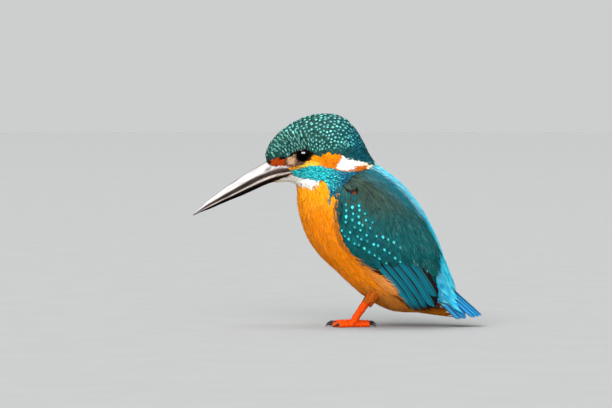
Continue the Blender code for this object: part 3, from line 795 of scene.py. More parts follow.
def outline_of(steps, kind):
    """Half width along a vane, from root to tip, as a share of its widest."""
    t = np.linspace(0, 1, steps + 1)
    if kind == "round":
        body = 0.45 + 0.55 * np.clip(t / 0.6, 0, 1) ** 0.8
        return body * np.sqrt(np.clip(1 - (np.clip(t - 0.62, 0, 1) / 0.39) ** 2, 0.015, 1))
    if kind == "soft":
        body = 0.5 + 0.5 * np.clip(t / 0.5, 0, 1)
        return body * np.clip(1 - np.clip(t - 0.45, 0, 1) ** 1.6 * 2.2, 0.16, 1)
    if kind == "lance":
        return np.clip((0.55 + 1.2 * t) * (1 - t) ** 0.55 * 1.15, 0.10, 1)
    if kind == "blade":
        body = 0.7 + 0.3 * np.clip(t / 0.25, 0, 1)
        return body * np.sqrt(np.clip(1 - (np.clip(t - 0.84, 0, 1) / 0.161) ** 2, 0.01, 1))
    return np.clip(1 - t**2.2, 0.12, 1)  # a hair


def lifts(steps, root, tip):
    """Heights over the form along a vane, from root to tip."""
    return root + (tip - root) * np.linspace(0, 1, steps + 1) ** 0.8


def jitter(tones, rng, amount):
    """Tones with a little difference in value and hue from feather to feather."""
    value = np.exp(rng.normal(0, amount, (len(tones), 1)))
    hue = np.exp(rng.normal(0, amount * 0.35, (len(tones), 3)))
    return np.clip(tones * value * hue, 0, 1)


CROWN_STEPS = 6
CROWN_LOOK = dict(roughness=0.55, sheen=0.02, specular=0.1, barbs=14, spot_at=0.79)
CROWN_LOOKS = {
    "crown_barred": dict(CROWN_LOOK, spot_long=0.08, spot_wide=0.9, soft=(0.2, 2.0)),
    "crown_dotted": dict(CROWN_LOOK, spot_long=0.12, spot_wide=0.36, soft=(0.1, 2.2)),
}


def feather_rows(surface, roots, reach, steps, rng, swing, kept_to=None):
    """Centrelines of feathers; those of a tract that they are kept to are shorter along its edges."""
    turn = rng.normal(0, math.radians(swing), len(roots))
    reach = reach * rng.uniform(0.88, 1.1, len(roots))
    if kept_to is not None:
        tips = walk(surface, roots, reach, 2, turn)[0][-1]
        leaves = (tracts(tips) != kept_to) & ((kept_to != BREAST) | (roots[:, 2] < 20))
        reach = np.where(leaves, reach * 0.5, reach)
    free = (roots[:, 0] > 43) & (roots[:, 2] < 11)
    return walk(surface, roots, reach + 2.0 * free, steps, turn, free)


def tones_at(rows, kind):
    """The markings at each feather's root and near its tip."""
    root, tip = rows[0][0], rows[0][-1]
    root_tone = tints(root, kind)
    return root_tone, np.where((tracts(tip) == kind)[:, None], tints(tip, kind), root_tone)


def crown_roots(surface, rng):
    """Roots of the crown's feathers, in rows from side to side that are offset from one to the next.

    With them comes each one's distance from the crown's centre line.
    """
    centre = np.array([CROWN_CENTRE[0], 0.0, CROWN_CENTRE[1]])
    roots, gaps, angle, odd = [], [], 176.0, False
    while angle > 12:
        turn = math.radians(angle)
        radial = np.array([math.cos(turn), 0.0, math.sin(turn)])
        wanted, row_gap = (1.35, 1.8) if angle > 125 else (1.85, 2.1) if angle > 62 else (1.45, 1.6)
        for side in (-1, 1):
            last, gap = None, wanted * (0.5 if odd else 1.0)
            for tilt in np.radians(np.arange(0, 95, 0.5)):
                way = radial * math.cos(tilt) + np.array([0.0, side * math.sin(tilt), 0.0])
                hit = surface.tree.ray_cast(Vector(centre), Vector(way))[0]
                if hit is None:
                    break
                hit = np.array(hit)
                if last is None:
                    last = middle = hit
                    if odd or side > 0:
                        continue
                elif np.linalg.norm(hit - last) < gap:
                    continue
                roots.append(hit)
                gaps.append(np.linalg.norm((hit - centre)[[0, 2]]))
                last, gap = hit, wanted
        angle -= math.degrees(row_gap / np.linalg.norm(middle - centre))
        odd = not odd
    roots = np.array(roots)
    roots += rng.normal(0, 0.16, roots.shape)
    keep = tracts(roots) == CROWN
    return roots[keep], np.array(gaps)[keep]


def make_crown(surface, rng):
    """The crown: barred in front, dotted behind, and without spots along its lower edge at the back."""
    roots, gaps = crown_roots(surface, rng)
    size = np.clip(gaps / 23.0, 0.5, 1.05)
    fore = ramp(-roots[:, 0], 10, 15) * ramp(-roots[:, 2], -85, -80)
    nape = ramp(roots[:, 0], 0, 8)
    reach = (4.3 - 0.9 * ramp(-roots[:, 0], 8, 20) - 0.9 * nape) * size + 0.4
    rows = feather_rows(surface, roots, reach, CROWN_STEPS, rng, 6)
    root_tone, tip_tone = tones_at(rows, CROWN)
    spot = mixed(TONE["crown_spot"], TONE["fore_spot"], fore)
    spot = mixed(spot, TONE["nape_spot"], nape)
    x, edge = rows[0][-1][:, 0], rows[0][-1][:, 2] - CROWN_EDGE(rows[0][-1][:, 0])
    strength = 1 - (1 - ramp(edge, 0.3, 1.6)) * ramp(x, -12, -8)
    strength *= 1 - (1 - ramp(edge, 2.8, 4.8)) * ramp(x, 0, 3)
    strength *= rng.uniform(0.45, 1.0, len(roots))
    spots = with_alpha(jitter(spot, rng, 0.16), strength)
    wide = (1.42 - 0.3 * fore - 0.3 * nape) * (0.55 + 0.45 * size)
    for label, look, mine in (
        ("crown_front", "crown_barred", fore > 0.5),
        ("crown", "crown_dotted", fore <= 0.5),
    ):
        vanes = Vanes(CROWN_STEPS, 7)
        vanes.add([a[:, mine] for a in rows], wide[mine], "round", (-0.6, 0.24), 0.16,
                  jitter(root_tone[mine], rng, 0.15), jitter(tip_tone[mine], rng, 0.2), rng, spots[mine],
                  bend=13.0, fray=0.05, ruffle=0.09)
        vanes.make("coat_" + label, plumage(look, **CROWN_LOOKS[look]), "crown")


# Each tract: name of its piece, spacing, length, half width, outline, steps, columns, lift of root and of
# tip, arch, fray, swing in degrees, jitter of tones, bend.
TRACTS = {
    FACE: ("coat_face", 0.52, 2.1, 0.42, "soft", 4, 5, -0.36, 0.06, 0.12, 0.16, 6, 0.07, 12.0),
    MALAR: ("coat_malar", 0.82, 2.3, 0.66, "round", 4, 5, -0.45, 0.12, 0.12, 0.05, 5, 0.12, 12.0),
    WHITE: ("coat_throat", 0.85, 3.0, 0.66, "soft", 4, 5, -0.5, 0.12, 0.1, 0.10, 6, 0.02, 12.0),
    BREAST: ("coat_breast", 1.15, 5.0, 0.85, "soft", 5, 5, -0.8, 0.12, 0.16, 0.12, 7, 0.06, 14.0),
    UNDERTAIL: ("coat_undertail", 1.25, 5.5, 0.95, "soft", 5, 5, -0.7, 0.1, 0.16, 0.08, 6, 0.08, 9.0),
    BACK: ("coat_back", 1.45, 6.2, 0.80, "lance", 5, 5, -0.8, 0.14, 0.2, 0.05, 5, 0.14, 12.0),
    SCAPULAR: ("coat_scapular", 1.6, 8.2, 1.25, "soft", 6, 7, -0.9, 0.16, 0.12, 0.09, 6, 0.15, 14.0),
}
# The material slot of each tract, and the look of its vanes.
STYLE = {
    CROWN: ("crown", dict(roughness=0.55, sheen=0.02, specular=0.15, barbs=10)),
    FACE: ("neck", dict(roughness=0.75, sheen=0.01, specular=0.06, barbs=7, depth=0.12, rachis=0.06)),
    MALAR: ("neck", dict(roughness=0.55, sheen=0.02, specular=0.14, barbs=9, depth=0.25, spot_at=0.72,
                         spot_long=0.30, spot_wide=0.42, soft=(0.2, 1.6))),
    WHITE: ("neck", dict(roughness=0.8, sheen=0.04, specular=0.1, barbs=9, depth=0.06, rachis=0.0,
                         speckle=0.12)),
    BREAST: ("breast", dict(roughness=0.75, sheen=0.01, specular=0.06, barbs=16, depth=0.14, rachis=0.03)),
    UNDERTAIL: ("breast", dict(roughness=0.75, sheen=0.01, specular=0.06, barbs=16, depth=0.18, rachis=0.08)),
    BACK: ("tail", dict(roughness=0.5, sheen=0.02, specular=0.2, barbs=22, depth=0.3, rachis=0.5)),
    SCAPULAR: ("wing", dict(roughness=0.6, sheen=0.02, specular=0.14, barbs=26, depth=0.25, rachis=0.25)),
    COVERT: ("wing", dict(roughness=0.55, sheen=0.02, specular=0.16, barbs=22, depth=0.25, spot_at=0.86,
                          spot_long=0.095, spot_wide=0.38, soft=(0.3, 1.7))),
}


# The coverts' rows: edge x against how far inside the wing's edge the first dotted row's tips are, and
# how far apart the rows are.
FIRST_ROW = curve((0, 1.8), (4, 4.0), (10, 6.2), (16, 7.2))
ROW_GAP = curve((0, 2.7), (5, 3.2), (12, 4.2))
PLAIN_ROWS = (0.5, 2.3, 4.1)
TIP_SPACING = 2.75
DOTS_TOP = 53.6
# Tips keep this far apart. The plain rows end this far before the first dotted one, and a plain row goes
# between two dotted ones where these lie this far apart.
TIP_GAP, PLAIN_GAP, ROOM_BETWEEN = 1.95, 1.3, 3.3


def evened(values, rounds):
    """Rows of values, each drawn towards its neighbours, with the first and last kept."""
    for _ in range(rounds):
        values[1:-1] = (values[:-2] + 2 * values[1:-1] + values[2:]) / 4
    return values


def covert_tips():
    """Tips of the coverts in rows inside the wing's front and lower edge, with 1 for a dot or 0 for none.

    The first rows are plain and the later ones dotted. Plain rows lie between dotted ones that are far apart.
    """
    z = np.linspace(58.0, 10.0, 480)
    edge = evened(np.stack([WING_FRONT(z), z], axis=1), 30)
    way = np.gradient(edge, axis=0)
    way /= np.linalg.norm(way, axis=1)[:, None]
    run = np.concatenate([[0], np.cumsum(np.linalg.norm(np.diff(edge, axis=0), axis=1))])
    tips = []
    plain = len(PLAIN_ROWS)
    for row in [*range(8), *np.arange(plain - 0.5, 8)]:
        for s in np.arange(TIP_SPACING * 0.5 * (row % 2), run[-1], TIP_SPACING):
            ex, ez, nx, nz = (np.interp(s, run, v) for v in (edge[:, 0], edge[:, 1], -way[:, 1], way[:, 0]))
            first, gap = FIRST_ROW(ex), ROW_GAP(ex)
            between = row != int(row)
            if row < plain - 0.5:
                off = PLAIN_ROWS[int(row)]
                room = first - off >= PLAIN_GAP
            else:
                off = first + gap * (row - plain)
                room = gap >= ROOM_BETWEEN or not between
            tx, tz = ex + nx * off, ez + nz * off
            outside = tz < FLIGHT_TOP(tx) - 0.4 and tx > 17.5
            outside |= tz > SCAPULAR_LOW(tx) + 1.0 or tx > WING_REAR(tz) - 1
            crowded = any(math.hypot(tx - a, tz - b) < TIP_GAP for a, b, _ in tips)
            if room and not outside and not crowded:
                tips.append((tx, tz, row >= plain and not between and tz < DOTS_TOP))
    return np.array(tips)


def make_coverts(surface, rng):
    """The dotted coverts, laid from their tips forwards."""
    slot, look = STYLE[COVERT]
    tips = covert_tips()
    count = len(tips)
    vanes = Vanes(7, 7)
    for side in (-1, 1):
        near = tips[:, :2] + rng.normal(0, 0.16, (count, 2))
        places, _ = side_points(surface, near[:, 0], near[:, 1], side)
        reach = rng.uniform(6.0, 7.0, count)
        rows = walk(surface, places, -reach, vanes.steps, rng.normal(0, 0.06, count))
        rows = [a[::-1] for a in rows]
        tone = tints(rows[0][-1], COVERT)
        dots = jitter(np.tile(TONE["dot"], (count, 1)), rng, 0.14)
        spots = with_alpha(dots, tips[:, 2] * rng.uniform(0.35, 1.0, count))
        vanes.add(rows, rng.uniform(1.5, 1.75, count), "round", (-0.9, 0.22), 0.12,
                  jitter(tone * 0.75, rng, 0.08), jitter(tone, rng, 0.1), rng, spots, fray=0.015)
    vanes.make("coat_covert", plumage("vane_covert", **look), slot, by_side=True)


def spots_for(kind, roots, rng):
    """The spots of feathers: only those of the malar tract have them."""
    if kind != MALAR:
        return None
    rear = np.maximum(ramp(roots[:, 0], -5, 4), ramp(-roots[:, 2], -62.5, -58.5))
    spot = mixed(TONE["malar_spot"], TONE["malar_far"], rear)
    return with_alpha(jitter(spot, rng, 0.1), rng.uniform(0.25, 0.95, len(roots)))


def lifts_over(steps, low, high, kind, x, z):
    """Lifts of feathers, higher for the scapulars that lie over the uppermost flight feathers."""
    over = 1.1 * ramp(x, 25, 30) * ramp(-z, -44, -37) * (kind == SCAPULAR)
    return lifts(steps, low, high)[:, None] + np.linspace(0.5, 1, steps + 1)[:, None] * over


# Tracts with shorter feathers along their edges, and tracts made as two pieces, left and right.
TRIMMED = (FACE, MALAR, WHITE, BREAST)
TWO_SIDED = (SCAPULAR, MALAR, FACE, BREAST)


def make_tract(surface, kind, cloud, cloud_kinds, rng):
    """The feathers of one tract, rooted at points thinned from a cloud of points on the form."""
    (name, spacing, length, half, outline, steps, columns, low, high, arch, fray, swing, vary,
     bend) = TRACTS[kind]
    slot, look = STYLE[kind]
    roots = thinned(cloud[cloud_kinds == kind], spacing, rng)
    if kind == SCAPULAR:
        roots = roots[roots[:, 2] > SCAPULAR_LOW(roots[:, 0]) + 1.6]
    count = len(roots)
    reach = np.full(count, length)
    x, z = roots[:, 0], roots[:, 2]
    if kind == FACE:
        reach *= 1 - 0.45 * ramp(-x, 10, 16)
    if kind == BREAST:
        reach *= 0.8 + 0.35 * ramp(-z, -50, -15)
    if kind == BACK:
        reach *= (0.8 + 0.3 * ramp(-z, -60, -30)) * (1 + 0.35 * ramp(x, 42, 47) * ramp(z, 9, 13))
    if kind == SCAPULAR:
        shorter = 0.25 * ramp(x, 27, 31) * ramp(-z, -40, -34)
        reach *= (0.8 + 0.2 * ramp(z - SCAPULAR_LOW(x), 2, 8)) * (1 - shorter)
    wide = half * (0.75 + 0.25 * reach / length) * rng.uniform(0.9, 1.1, count)
    rows = feather_rows(surface, roots, reach, steps, rng, swing, kind if kind in TRIMMED else None)
    root_tone, tip_tone = tones_at(rows, kind)
    if kind == BACK:
        light = rng.random(count) ** 1.5 * (0.3 + 0.7 * ramp(-z, -33, -24))
        light *= (1 - 0.5 * ramp(x, 44, 48)) * (1 - 0.85 * shaded_back(roots))
        tip_tone = mixed(tip_tone, TONE["azure_light"], light)
        # Painted highlight: pale glint tips along the top of the upper back.
        top = ramp(z, 47, 55) * ramp(-np.abs(roots[:, 1]), -9, -6) * rng.random(count) ** 0.6
        tip_tone = mixed(tip_tone, TONE["glint"], top)
    vanes = Vanes(steps, columns)
    vanes.add(rows, wide, outline, lifts_over(steps, low, high, kind, x, z), arch,
              jitter(root_tone * (0.95 if kind in (FACE, WHITE, BREAST) else 0.8), rng, vary),
              jitter(tip_tone, rng, vary), rng, spots_for(kind, roots, rng), bend=bend, fray=fray)
    vanes.make(name, plumage(name.replace("coat", "vane"), **look), slot, by_side=kind in TWO_SIDED)


def make_hairs(vanes, name, kind, by_side=True):
    """Pieces of loose barbs, which look like their tract's vanes but for a shaft and deep shading."""
    slot, look = STYLE[kind]
    vanes.make(name, plumage(name + "_vane", **dict(look, depth=0.05, rachis=0.0)), slot, by_side)


FLANK_TOP = 34.0


def make_fringe(surface, rng):
    """Loose barbs along the wing's lower edge at the flank, and shorter ones along its front edge."""
    vanes = Vanes(5, 3)
    for side in (-1, 1):
        z = np.concatenate([rng.uniform(15.5, FLANK_TOP, 2000), rng.uniform(FLANK_TOP, 58.0, 900)])
        x = WING_FRONT(z) - rng.uniform(0.0, 2.8, len(z))
        high = z > FLANK_TOP
        top = ramp(z[high], 48, 54)
        x[high] = WING_FRONT(z[high]) + rng.uniform(-1.2, 0.9, high.sum()) * (1 + 1.2 * top) + 1.2 * top
        wanted = np.where(high, 1 - 0.78 * ramp(z, 47, 51), ramp(-z, -28, -21) * 0.85 + 0.08)
        keep = rng.random(len(z)) < wanted
        x, z, high = x[keep], z[keep], high[keep]
        places, _ = side_points(surface, x, z, side)
        count = len(x)
        turn = side * rng.normal(-0.40, 0.18, count) * np.where(high, 0.4, 1.0)
        reach = rng.uniform(1.6, 2.9, count) ** 2 * (0.55 + 0.45 * ramp(z, 16, 21))
        reach *= np.where(high, 0.42, 1.0)
        rows = walk(surface, places, reach, vanes.steps, turn)
        tone = mixed(TONE["breast"], TONE["belly"], ramp(-z, -36, -20))
        tip = mixed(tone, TONE["flank"], rng.random(count) * 0.9 * ramp(-z, -29, -22))
        tip = np.where(high[:, None], mixed(tone, TONE["fringe"], rng.random(count) * 0.9), tip)
        blended = (z > 47) & ((rng.random(count) < 0.45) | (x > WING_FRONT(z) + 0.3))
        tone[blended] = TONE["teal"] * 0.8
        tip[blended] = TONE["scapular"]
        vanes.add(rows, np.where(high, 0.18, 0.12), "hair", (-0.2, 0.62), 0.5,
                  jitter(tone, rng, 0.12), jitter(tip, rng, 0.12), rng)
    make_hairs(vanes, "barbs_flank", BREAST)


DARK_BARBS, ORANGE_BARBS = 60, 14


def make_notch(surface, rng):
    """Short dark and orange barbs over the bend of each wing."""
    vanes = Vanes(3, 3)
    for side in (-1, 1):
        middle_x, middle_z = NOTCH_MIDDLE
        x = np.concatenate([rng.uniform(3.6, 9.0, DARK_BARBS), rng.normal(middle_x, 0.4, ORANGE_BARBS)])
        z = NOTCH_LINE(x) + rng.normal(0.2, 0.3, len(x))
        z[DARK_BARBS:] = middle_z + rng.normal(0.3, 0.3, ORANGE_BARBS)
        places, _ = side_points(surface, x, z, side)
        rows = walk(surface, places, rng.uniform(0.7, 1.5, len(x)), vanes.steps, rng.normal(0, 0.3, len(x)))
        tone = np.repeat([TONE["web"], TONE["streak"] * 0.45], (DARK_BARBS, ORANGE_BARBS), axis=0)
        vanes.add(rows, rng.uniform(0.10, 0.18, len(x)), "hair", (0.1, 0.42), 0.4,
                  jitter(tone, rng, 0.2), jitter(tone, rng, 0.2), rng)
    make_hairs(vanes, "barbs_bend", BREAST)


# Loose barbs over the soft tracts: tract, spacing, length, half width, lift of tip, tones of tips and their
# greatest share.
BARBS = [
    (BREAST, 0.62, 4.8, 0.12, 0.30, ("breast_high", "breast", "belly", "flank"), 0.6),
    (UNDERTAIL, 0.9, 5.0, 0.13, 0.25, ("breast", "belly"), 0.5),
    (BACK, 0.68, 5.6, 0.12, 0.30, ("azure_light", "azure_light", "azure", "azure_deep"), 0.85),
    (SCAPULAR, 0.60, 6.4, 0.11, 0.28, ("streak_pale", "teal_light", "teal_light", "teal", "web"), 0.95),
    (WHITE, 0.7, 3.0, 0.11, 0.26, ("white", "white", "cream"), 0.6),
    (FACE, 0.46, 1.8, 0.07, 0.18, ("ear", "stripe", "ear_rim"), 0.0),
    (CROWN, 0.72, 2.6, 0.09, 0.18, ("crown_dark", "crown_fibre", "nape_dark", "crown_fibre"), 0.75),
    (MALAR, 0.55, 2.0, 0.08, 0.18, ("malar_spot", "malar", "malar_rear"), 0.6),
]


def make_barbs(surface, cloud, cloud_kinds, rng):
    """Loose barbs over the tracts, as thin as hairs."""
    for kind, spacing, length, half, tip_lift, names, share in BARBS:
        roots = thinned(cloud[cloud_kinds == kind], spacing, rng)
        if kind == BACK:
            roots = roots[(roots[:, 2] > 15) | (np.abs(roots[:, 1]) < 4)]
        count = len(roots)
        x, z = roots[:, 0], roots[:, 2]
        reach = length * rng.uniform(0.7, 1.1, count)
        if kind == FACE:
            reach *= 1 - 0.4 * ramp(-x, 10, 16)
        vanes = Vanes(4, 3)
        rows = feather_rows(surface, roots, reach, vanes.steps, rng, 9)
        root_tone, tip_tone = tones_at(rows, kind)
        pick = np.array([TONE[n] for n in names])[rng.integers(0, len(names), count)]
        amount = share * rng.random(count)
        if kind == BACK:
            amount *= 1 - 0.8 * shaded_back(roots)
        if kind == SCAPULAR:
            amount *= 1 - 0.45 * ramp(z, 48, 56)
        if kind == CROWN:
            rim = (z < CROWN_EDGE(x) + 4.6) & (rng.random(count) < 0.6) & (x > -9)
            pick[rim] = np.where((x > 0)[:, None], TONE["nape_fibre"], TONE["rim_fibre"])[rim]
            amount[rim] = 0.85
        tip_tone = mixed(tip_tone, pick, amount)
        vanes.add(rows, half, "hair", lifts_over(vanes.steps, -0.5, tip_lift, kind, x, z), 0.5,
                  jitter(root_tone, rng, 0.12), jitter(tip_tone, rng, 0.14), rng)
        name = TRACTS[kind][0].replace("coat", "barbs") if kind in TRACTS else "barbs_crown"
        make_hairs(vanes, name, kind, by_side=kind in (BREAST, SCAPULAR))


# ---------------------------------------------------------------- long feathers

# Flight feathers of the left wing from the lowest primary to the tertials: (root x, z, tip x, z, half
# width, how far the tip curves down). Each lies over the one before it.
BLADES = [
    (16.6, 24.6, 31.6, 7.9, 1.5, 0.5), (17.8, 27.2, 33.5, 7.7, 2.0, 0.5), (20.4, 28.6, 36.2, 7.4, 2.1, 0.6),
    (23.0, 29.8, 38.9, 7.8, 2.1, 0.7), (25.8, 31.2, 41.5, 9.5, 2.3, 0.8),
    (28.4, 33.2, 42.3, 13.8, 2.4, 0.9),
    (31.2, 36.0, 42.4, 22.2, 2.3, 0.9),
]
BLADE_STEPS, BLADE_COLUMNS = 26, 9
# The lowest flight feather has the dark brown of painted shade, where it shows along the wing's lower edge.
BLADE_TONES = ("painted_shade_brown", "flight", "flight", "flight", "flight", "flight", "tertial")


def side_points(surface, x, z, side):
    """Points of the form's side at given places of the XZ plane, with their normals."""
    places, normals = [], []
    for a, b in zip(x, z):
        hit = surface.tree.ray_cast(Vector((a, side * 60.0, b)), Vector((0, -side, 0)))
        if hit[0] is None:
            near = surface.tree.find_nearest(Vector((a, side * 9.0, b)))
            places.append((a, near[0].y, b))
            normals.append((0, side, 0))
        else:
            places.append(hit[0][:])
            normals.append(surface.normals[hit[2]])
    return np.array(places), np.array(normals)


def long_feather(vanes, surface, root, tip, half, sag, side, offset, tone, rng):
    """One feather laid on the form's side along a bowed line from root to tip."""
    t = np.linspace(0, 1, vanes.steps + 1)
    length = math.dist(root, tip)
    across = (-(tip[1] - root[1]) / length, (tip[0] - root[0]) / length)
    x, z = (root[i] + (tip[i] - root[i]) * t + across[i] * sag * np.sin(math.pi * t) for i in (0, 1))
    places, normals = side_points(surface, x, z, side)
    places[:, 1] = evened(places[:, 1], 3)
    normals = evened(normals, 3)
    normals /= np.linalg.norm(normals, axis=1)[:, None]
    ways = laid_flat(np.gradient(places, axis=0), normals)
    level = -1.0 + 1.3 * t**0.9 + offset
    vanes.add([a[:, None] for a in (places, normals, ways)], half, "blade", level[:, None], 0.1,
              tone[None], tone[None] * 1.1, rng, bend=15.0, skew=-0.1 * side)


def make_flight(surface, rng):
    """Flight feathers, each with a dark web along its lower side."""
    for side, label in SIDES:
        vanes = Vanes(BLADE_STEPS, BLADE_COLUMNS)
        for k, (rx, rz, tx, tz, half, sag) in enumerate(BLADES):
            tone = TONE[BLADE_TONES[k]] * (1.12 - 0.07 * k)
            long_feather(vanes, surface, (rx, rz), (tx, tz), half, sag, side, 0.13 * k - 0.15, tone, rng)
        # The last feather, the tertial, has one web: a pale one on the left wing, a dark one on the right.
        vanes.parts[-1][2][:, 0] = -1
        for _, _, vane, _, _ in vanes.parts:
            vane[:, 0] *= -side
        look = plumage("blade_" + label, 0.45, 0.02, 0.2, barbs=60, depth=0.16, rachis=0.6, web=0.2)
        made = vanes.make("flight_feathers_" + label, look, "wing", patch=LONG_PATCH)
        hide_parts("flight_" + label)


TAIL_ROOT, TAIL_TIP = (41.5, 22.6), (62.1, 4.4)
TAIL_HALVES, TAIL_DROPS = (3.6, 8.8), (6.6, 9.2)
# Places across the tail's right half, as shares of its half width: the outer two lie apart from the rest.
TAIL_PLACES = (0.05, 0.19, 0.34, 0.50, 0.76, 0.88)
TAIL_SHORTER = 0.30


def make_tail(rng):
    """Twelve tail feathers, the middle pair on top."""
    root, tip = np.array(TAIL_ROOT), np.array(TAIL_TIP)
    length = np.linalg.norm(tip - root)
    along = (tip - root) / length
    up = np.array([-along[1], along[0]])
    vanes = Vanes(BLADE_STEPS, BLADE_COLUMNS)
    order = sorted([*TAIL_PLACES, *(-s for s in TAIL_PLACES)], key=lambda s: -abs(s))
    for rank, s in enumerate(order):
        t = np.linspace(0, 1, vanes.steps + 1) * (1 - TAIL_SHORTER * s * s) * 0.995
        half = TAIL_HALVES[0] + (TAIL_HALVES[1] - TAIL_HALVES[0]) * t
        drop = TAIL_DROPS[0] + (TAIL_DROPS[1] - TAIL_DROPS[0]) * t
        x, z = (root[i] + along[i] * length * t - up[i] * drop * s * s for i in (0, 1))
        places = np.stack([x, half * s, z], axis=1)
        normals = np.stack([np.full(len(t), up[0]), 2 * drop * s / half, np.full(len(t), up[1])], axis=1)
        normals /= np.linalg.norm(normals, axis=1)[:, None]
        ways = laid_flat(np.gradient(places, axis=0), normals)
        tone = mixed(TONE["tail"], TONE["tail_light"], 0.5 * rng.random()) * (0.85 + 0.2 * (1 - abs(s)))
        level = -0.35 + 0.07 * rank
        vanes.add([a[:, None] for a in (places, normals, ways)], 1.75, "blade", (level, level), 0.1,
                  tone[None], tone[None] * 0.9, rng)
    look = plumage("rectrix", 0.42, 0.02, 0.2, barbs=60, depth=0.2, rachis=0.7, rim=0.66)
    made = vanes.make("tail_feathers", look, "tail", patch=LONG_PATCH)
    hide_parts("tail")


# ---------------------------------------------------------------- bill

# From tip to gape: (x, culmen z, cutting edge z, keel z, half width).
BILL_ROWS = [
    (-62.1, 48.2, 47.8, 47.4, 0.30), (-59.1, 50.8, 49.5, 48.8, 0.80), (-54.8, 54.6, 51.8, 50.4, 1.40),
    (-50.5, 57.9, 54.0, 52.3, 1.95), (-46.2, 61.0, 56.1, 54.1, 2.50), (-41.9, 63.9, 58.3, 55.8, 3.00),
    (-37.6, 66.7, 60.5, 57.7, 3.55), (-33.3, 69.2, 62.8, 59.7, 4.35), (-29.0, 71.6, 64.8, 61.5, 6.00),
    (-24.7, 72.4, 66.1, 62.6, 8.20), (-20.9, 71.8, 66.8, 64.0, 9.00), (-18.2, 69.6, 67.0, 65.4, 7.60),
]
BILL_STEPS = 10
BILL_SLOPE = math.radians(31)
# Sections of the mandibles from the cutting edge to the ridge: (height, width) as shares.
UPPER_SECTION = [(0, .70), (.04, .80), (.12, .90), (.22, .97), (.33, 1.0), (.45, .95), (.57, .83), (.68, .68),
                 (.78, .52), (.87, .36), (.94, .21), (.985, .08)]
LOWER_SECTION = [(0, .72), (.05, .80), (.13, .90), (.22, .97), (.32, .97), (.45, .90), (.58, .78), (.70, .63),
                 (.81, .46), (.90, .30), (.96, .16), (.99, .07)]
# Linear tones of the horn: at the cutting edges, beyond them, and along the culmen. Above, the dark edge is
# the horn's own near black; the pale tone beyond it and the grey of the culmen are a painted reflection.
# Below, the pale cutting edge is a painted highlight on near black horn.
UPPER_RIM, UPPER_PAINTED_REFLECTION, UPPER_RIDGE, LOWER_EDGE_HIGHLIGHT, LOWER_HORN = np.array([
    (0.045, 0.026, 0.018), (0.68, 0.63, 0.62), (0.20, 0.18, 0.185), (0.54, 0.46, 0.41),
    (0.010, 0.005, 0.004),
])
# Nostril slit: middle x and z, half length, half height and depth.
NOSTRIL = (-30.2, 67.5, 1.9, 0.36, 0.45)


def smooth_rows(rows, steps):
    """Rows of numbers with steps - 1 more between each two, on a Catmull-Rom curve."""
    rows = np.array(rows, float)
    ends = np.vstack([2 * rows[0] - rows[1], rows, 2 * rows[-1] - rows[-2]])
    dense = []
    for a, b, c, d in zip(ends, ends[1:], ends[2:], ends[3:]):
        for k in range(steps):
            t = k / steps
            cube = (3 * b - a - 3 * c + d) * t**3
            dense.append(b + 0.5 * ((c - a) * t + (2 * a - 5 * b + 4 * c - d) * t**2 + cube))
    return np.array([*dense, rows[-1]])


def closed_mesh(name, points, faces):
    """A mesh whose faces all look outwards."""
    mesh, _ = mesh_of(name, points, faces)
    edit = bmesh.new()
    edit.from_mesh(mesh)
    bmesh.ops.recalc_face_normals(edit, faces=edit.faces)
    edit.to_mesh(mesh)
    edit.free()
    return mesh


def loft(name, rings):
    """A closed mesh through rings of points."""
    count = len(rings[0])
    points = np.array(rings).reshape(-1, 3)
    faces = [list(range(count))[::-1], list(range(len(points) - count, len(points)))]
    for i in range(0, len(points) - count, count):
        for k in range(count):
            a, b = i + k, i + (k + 1) % count
            faces.append([a, b, b + count, a + count])
    return closed_mesh(name, points, faces)


def mandible_ring(x, ridge, edge, half_width, section):
    """A section of one mandible: up its left side from the cutting edge, over the ridge and down."""
    flank = [(half_width * wide, edge + (ridge - edge) * high) for high, wide in section]
    return [(x, -y, z) for y, z in flank] + [(x, 0.0, ridge)] + [(x, y, z) for y, z in flank[::-1]]


def heights_of(section):
    """How high the points of a mandible's ring lie, from 0 at the cutting edge to 1 at the ridge."""
    heights = [high for high, _ in section]
    return np.array([*heights, 1.0, *heights[::-1]])[:, None]


def mandible(name, rings, tone, horn):
    mesh = loft(name, rings)
    paint(mesh, "Tone", with_alpha(tone.reshape(-1, 3)))
    return place_piece(mesh, horn, sharp=60)


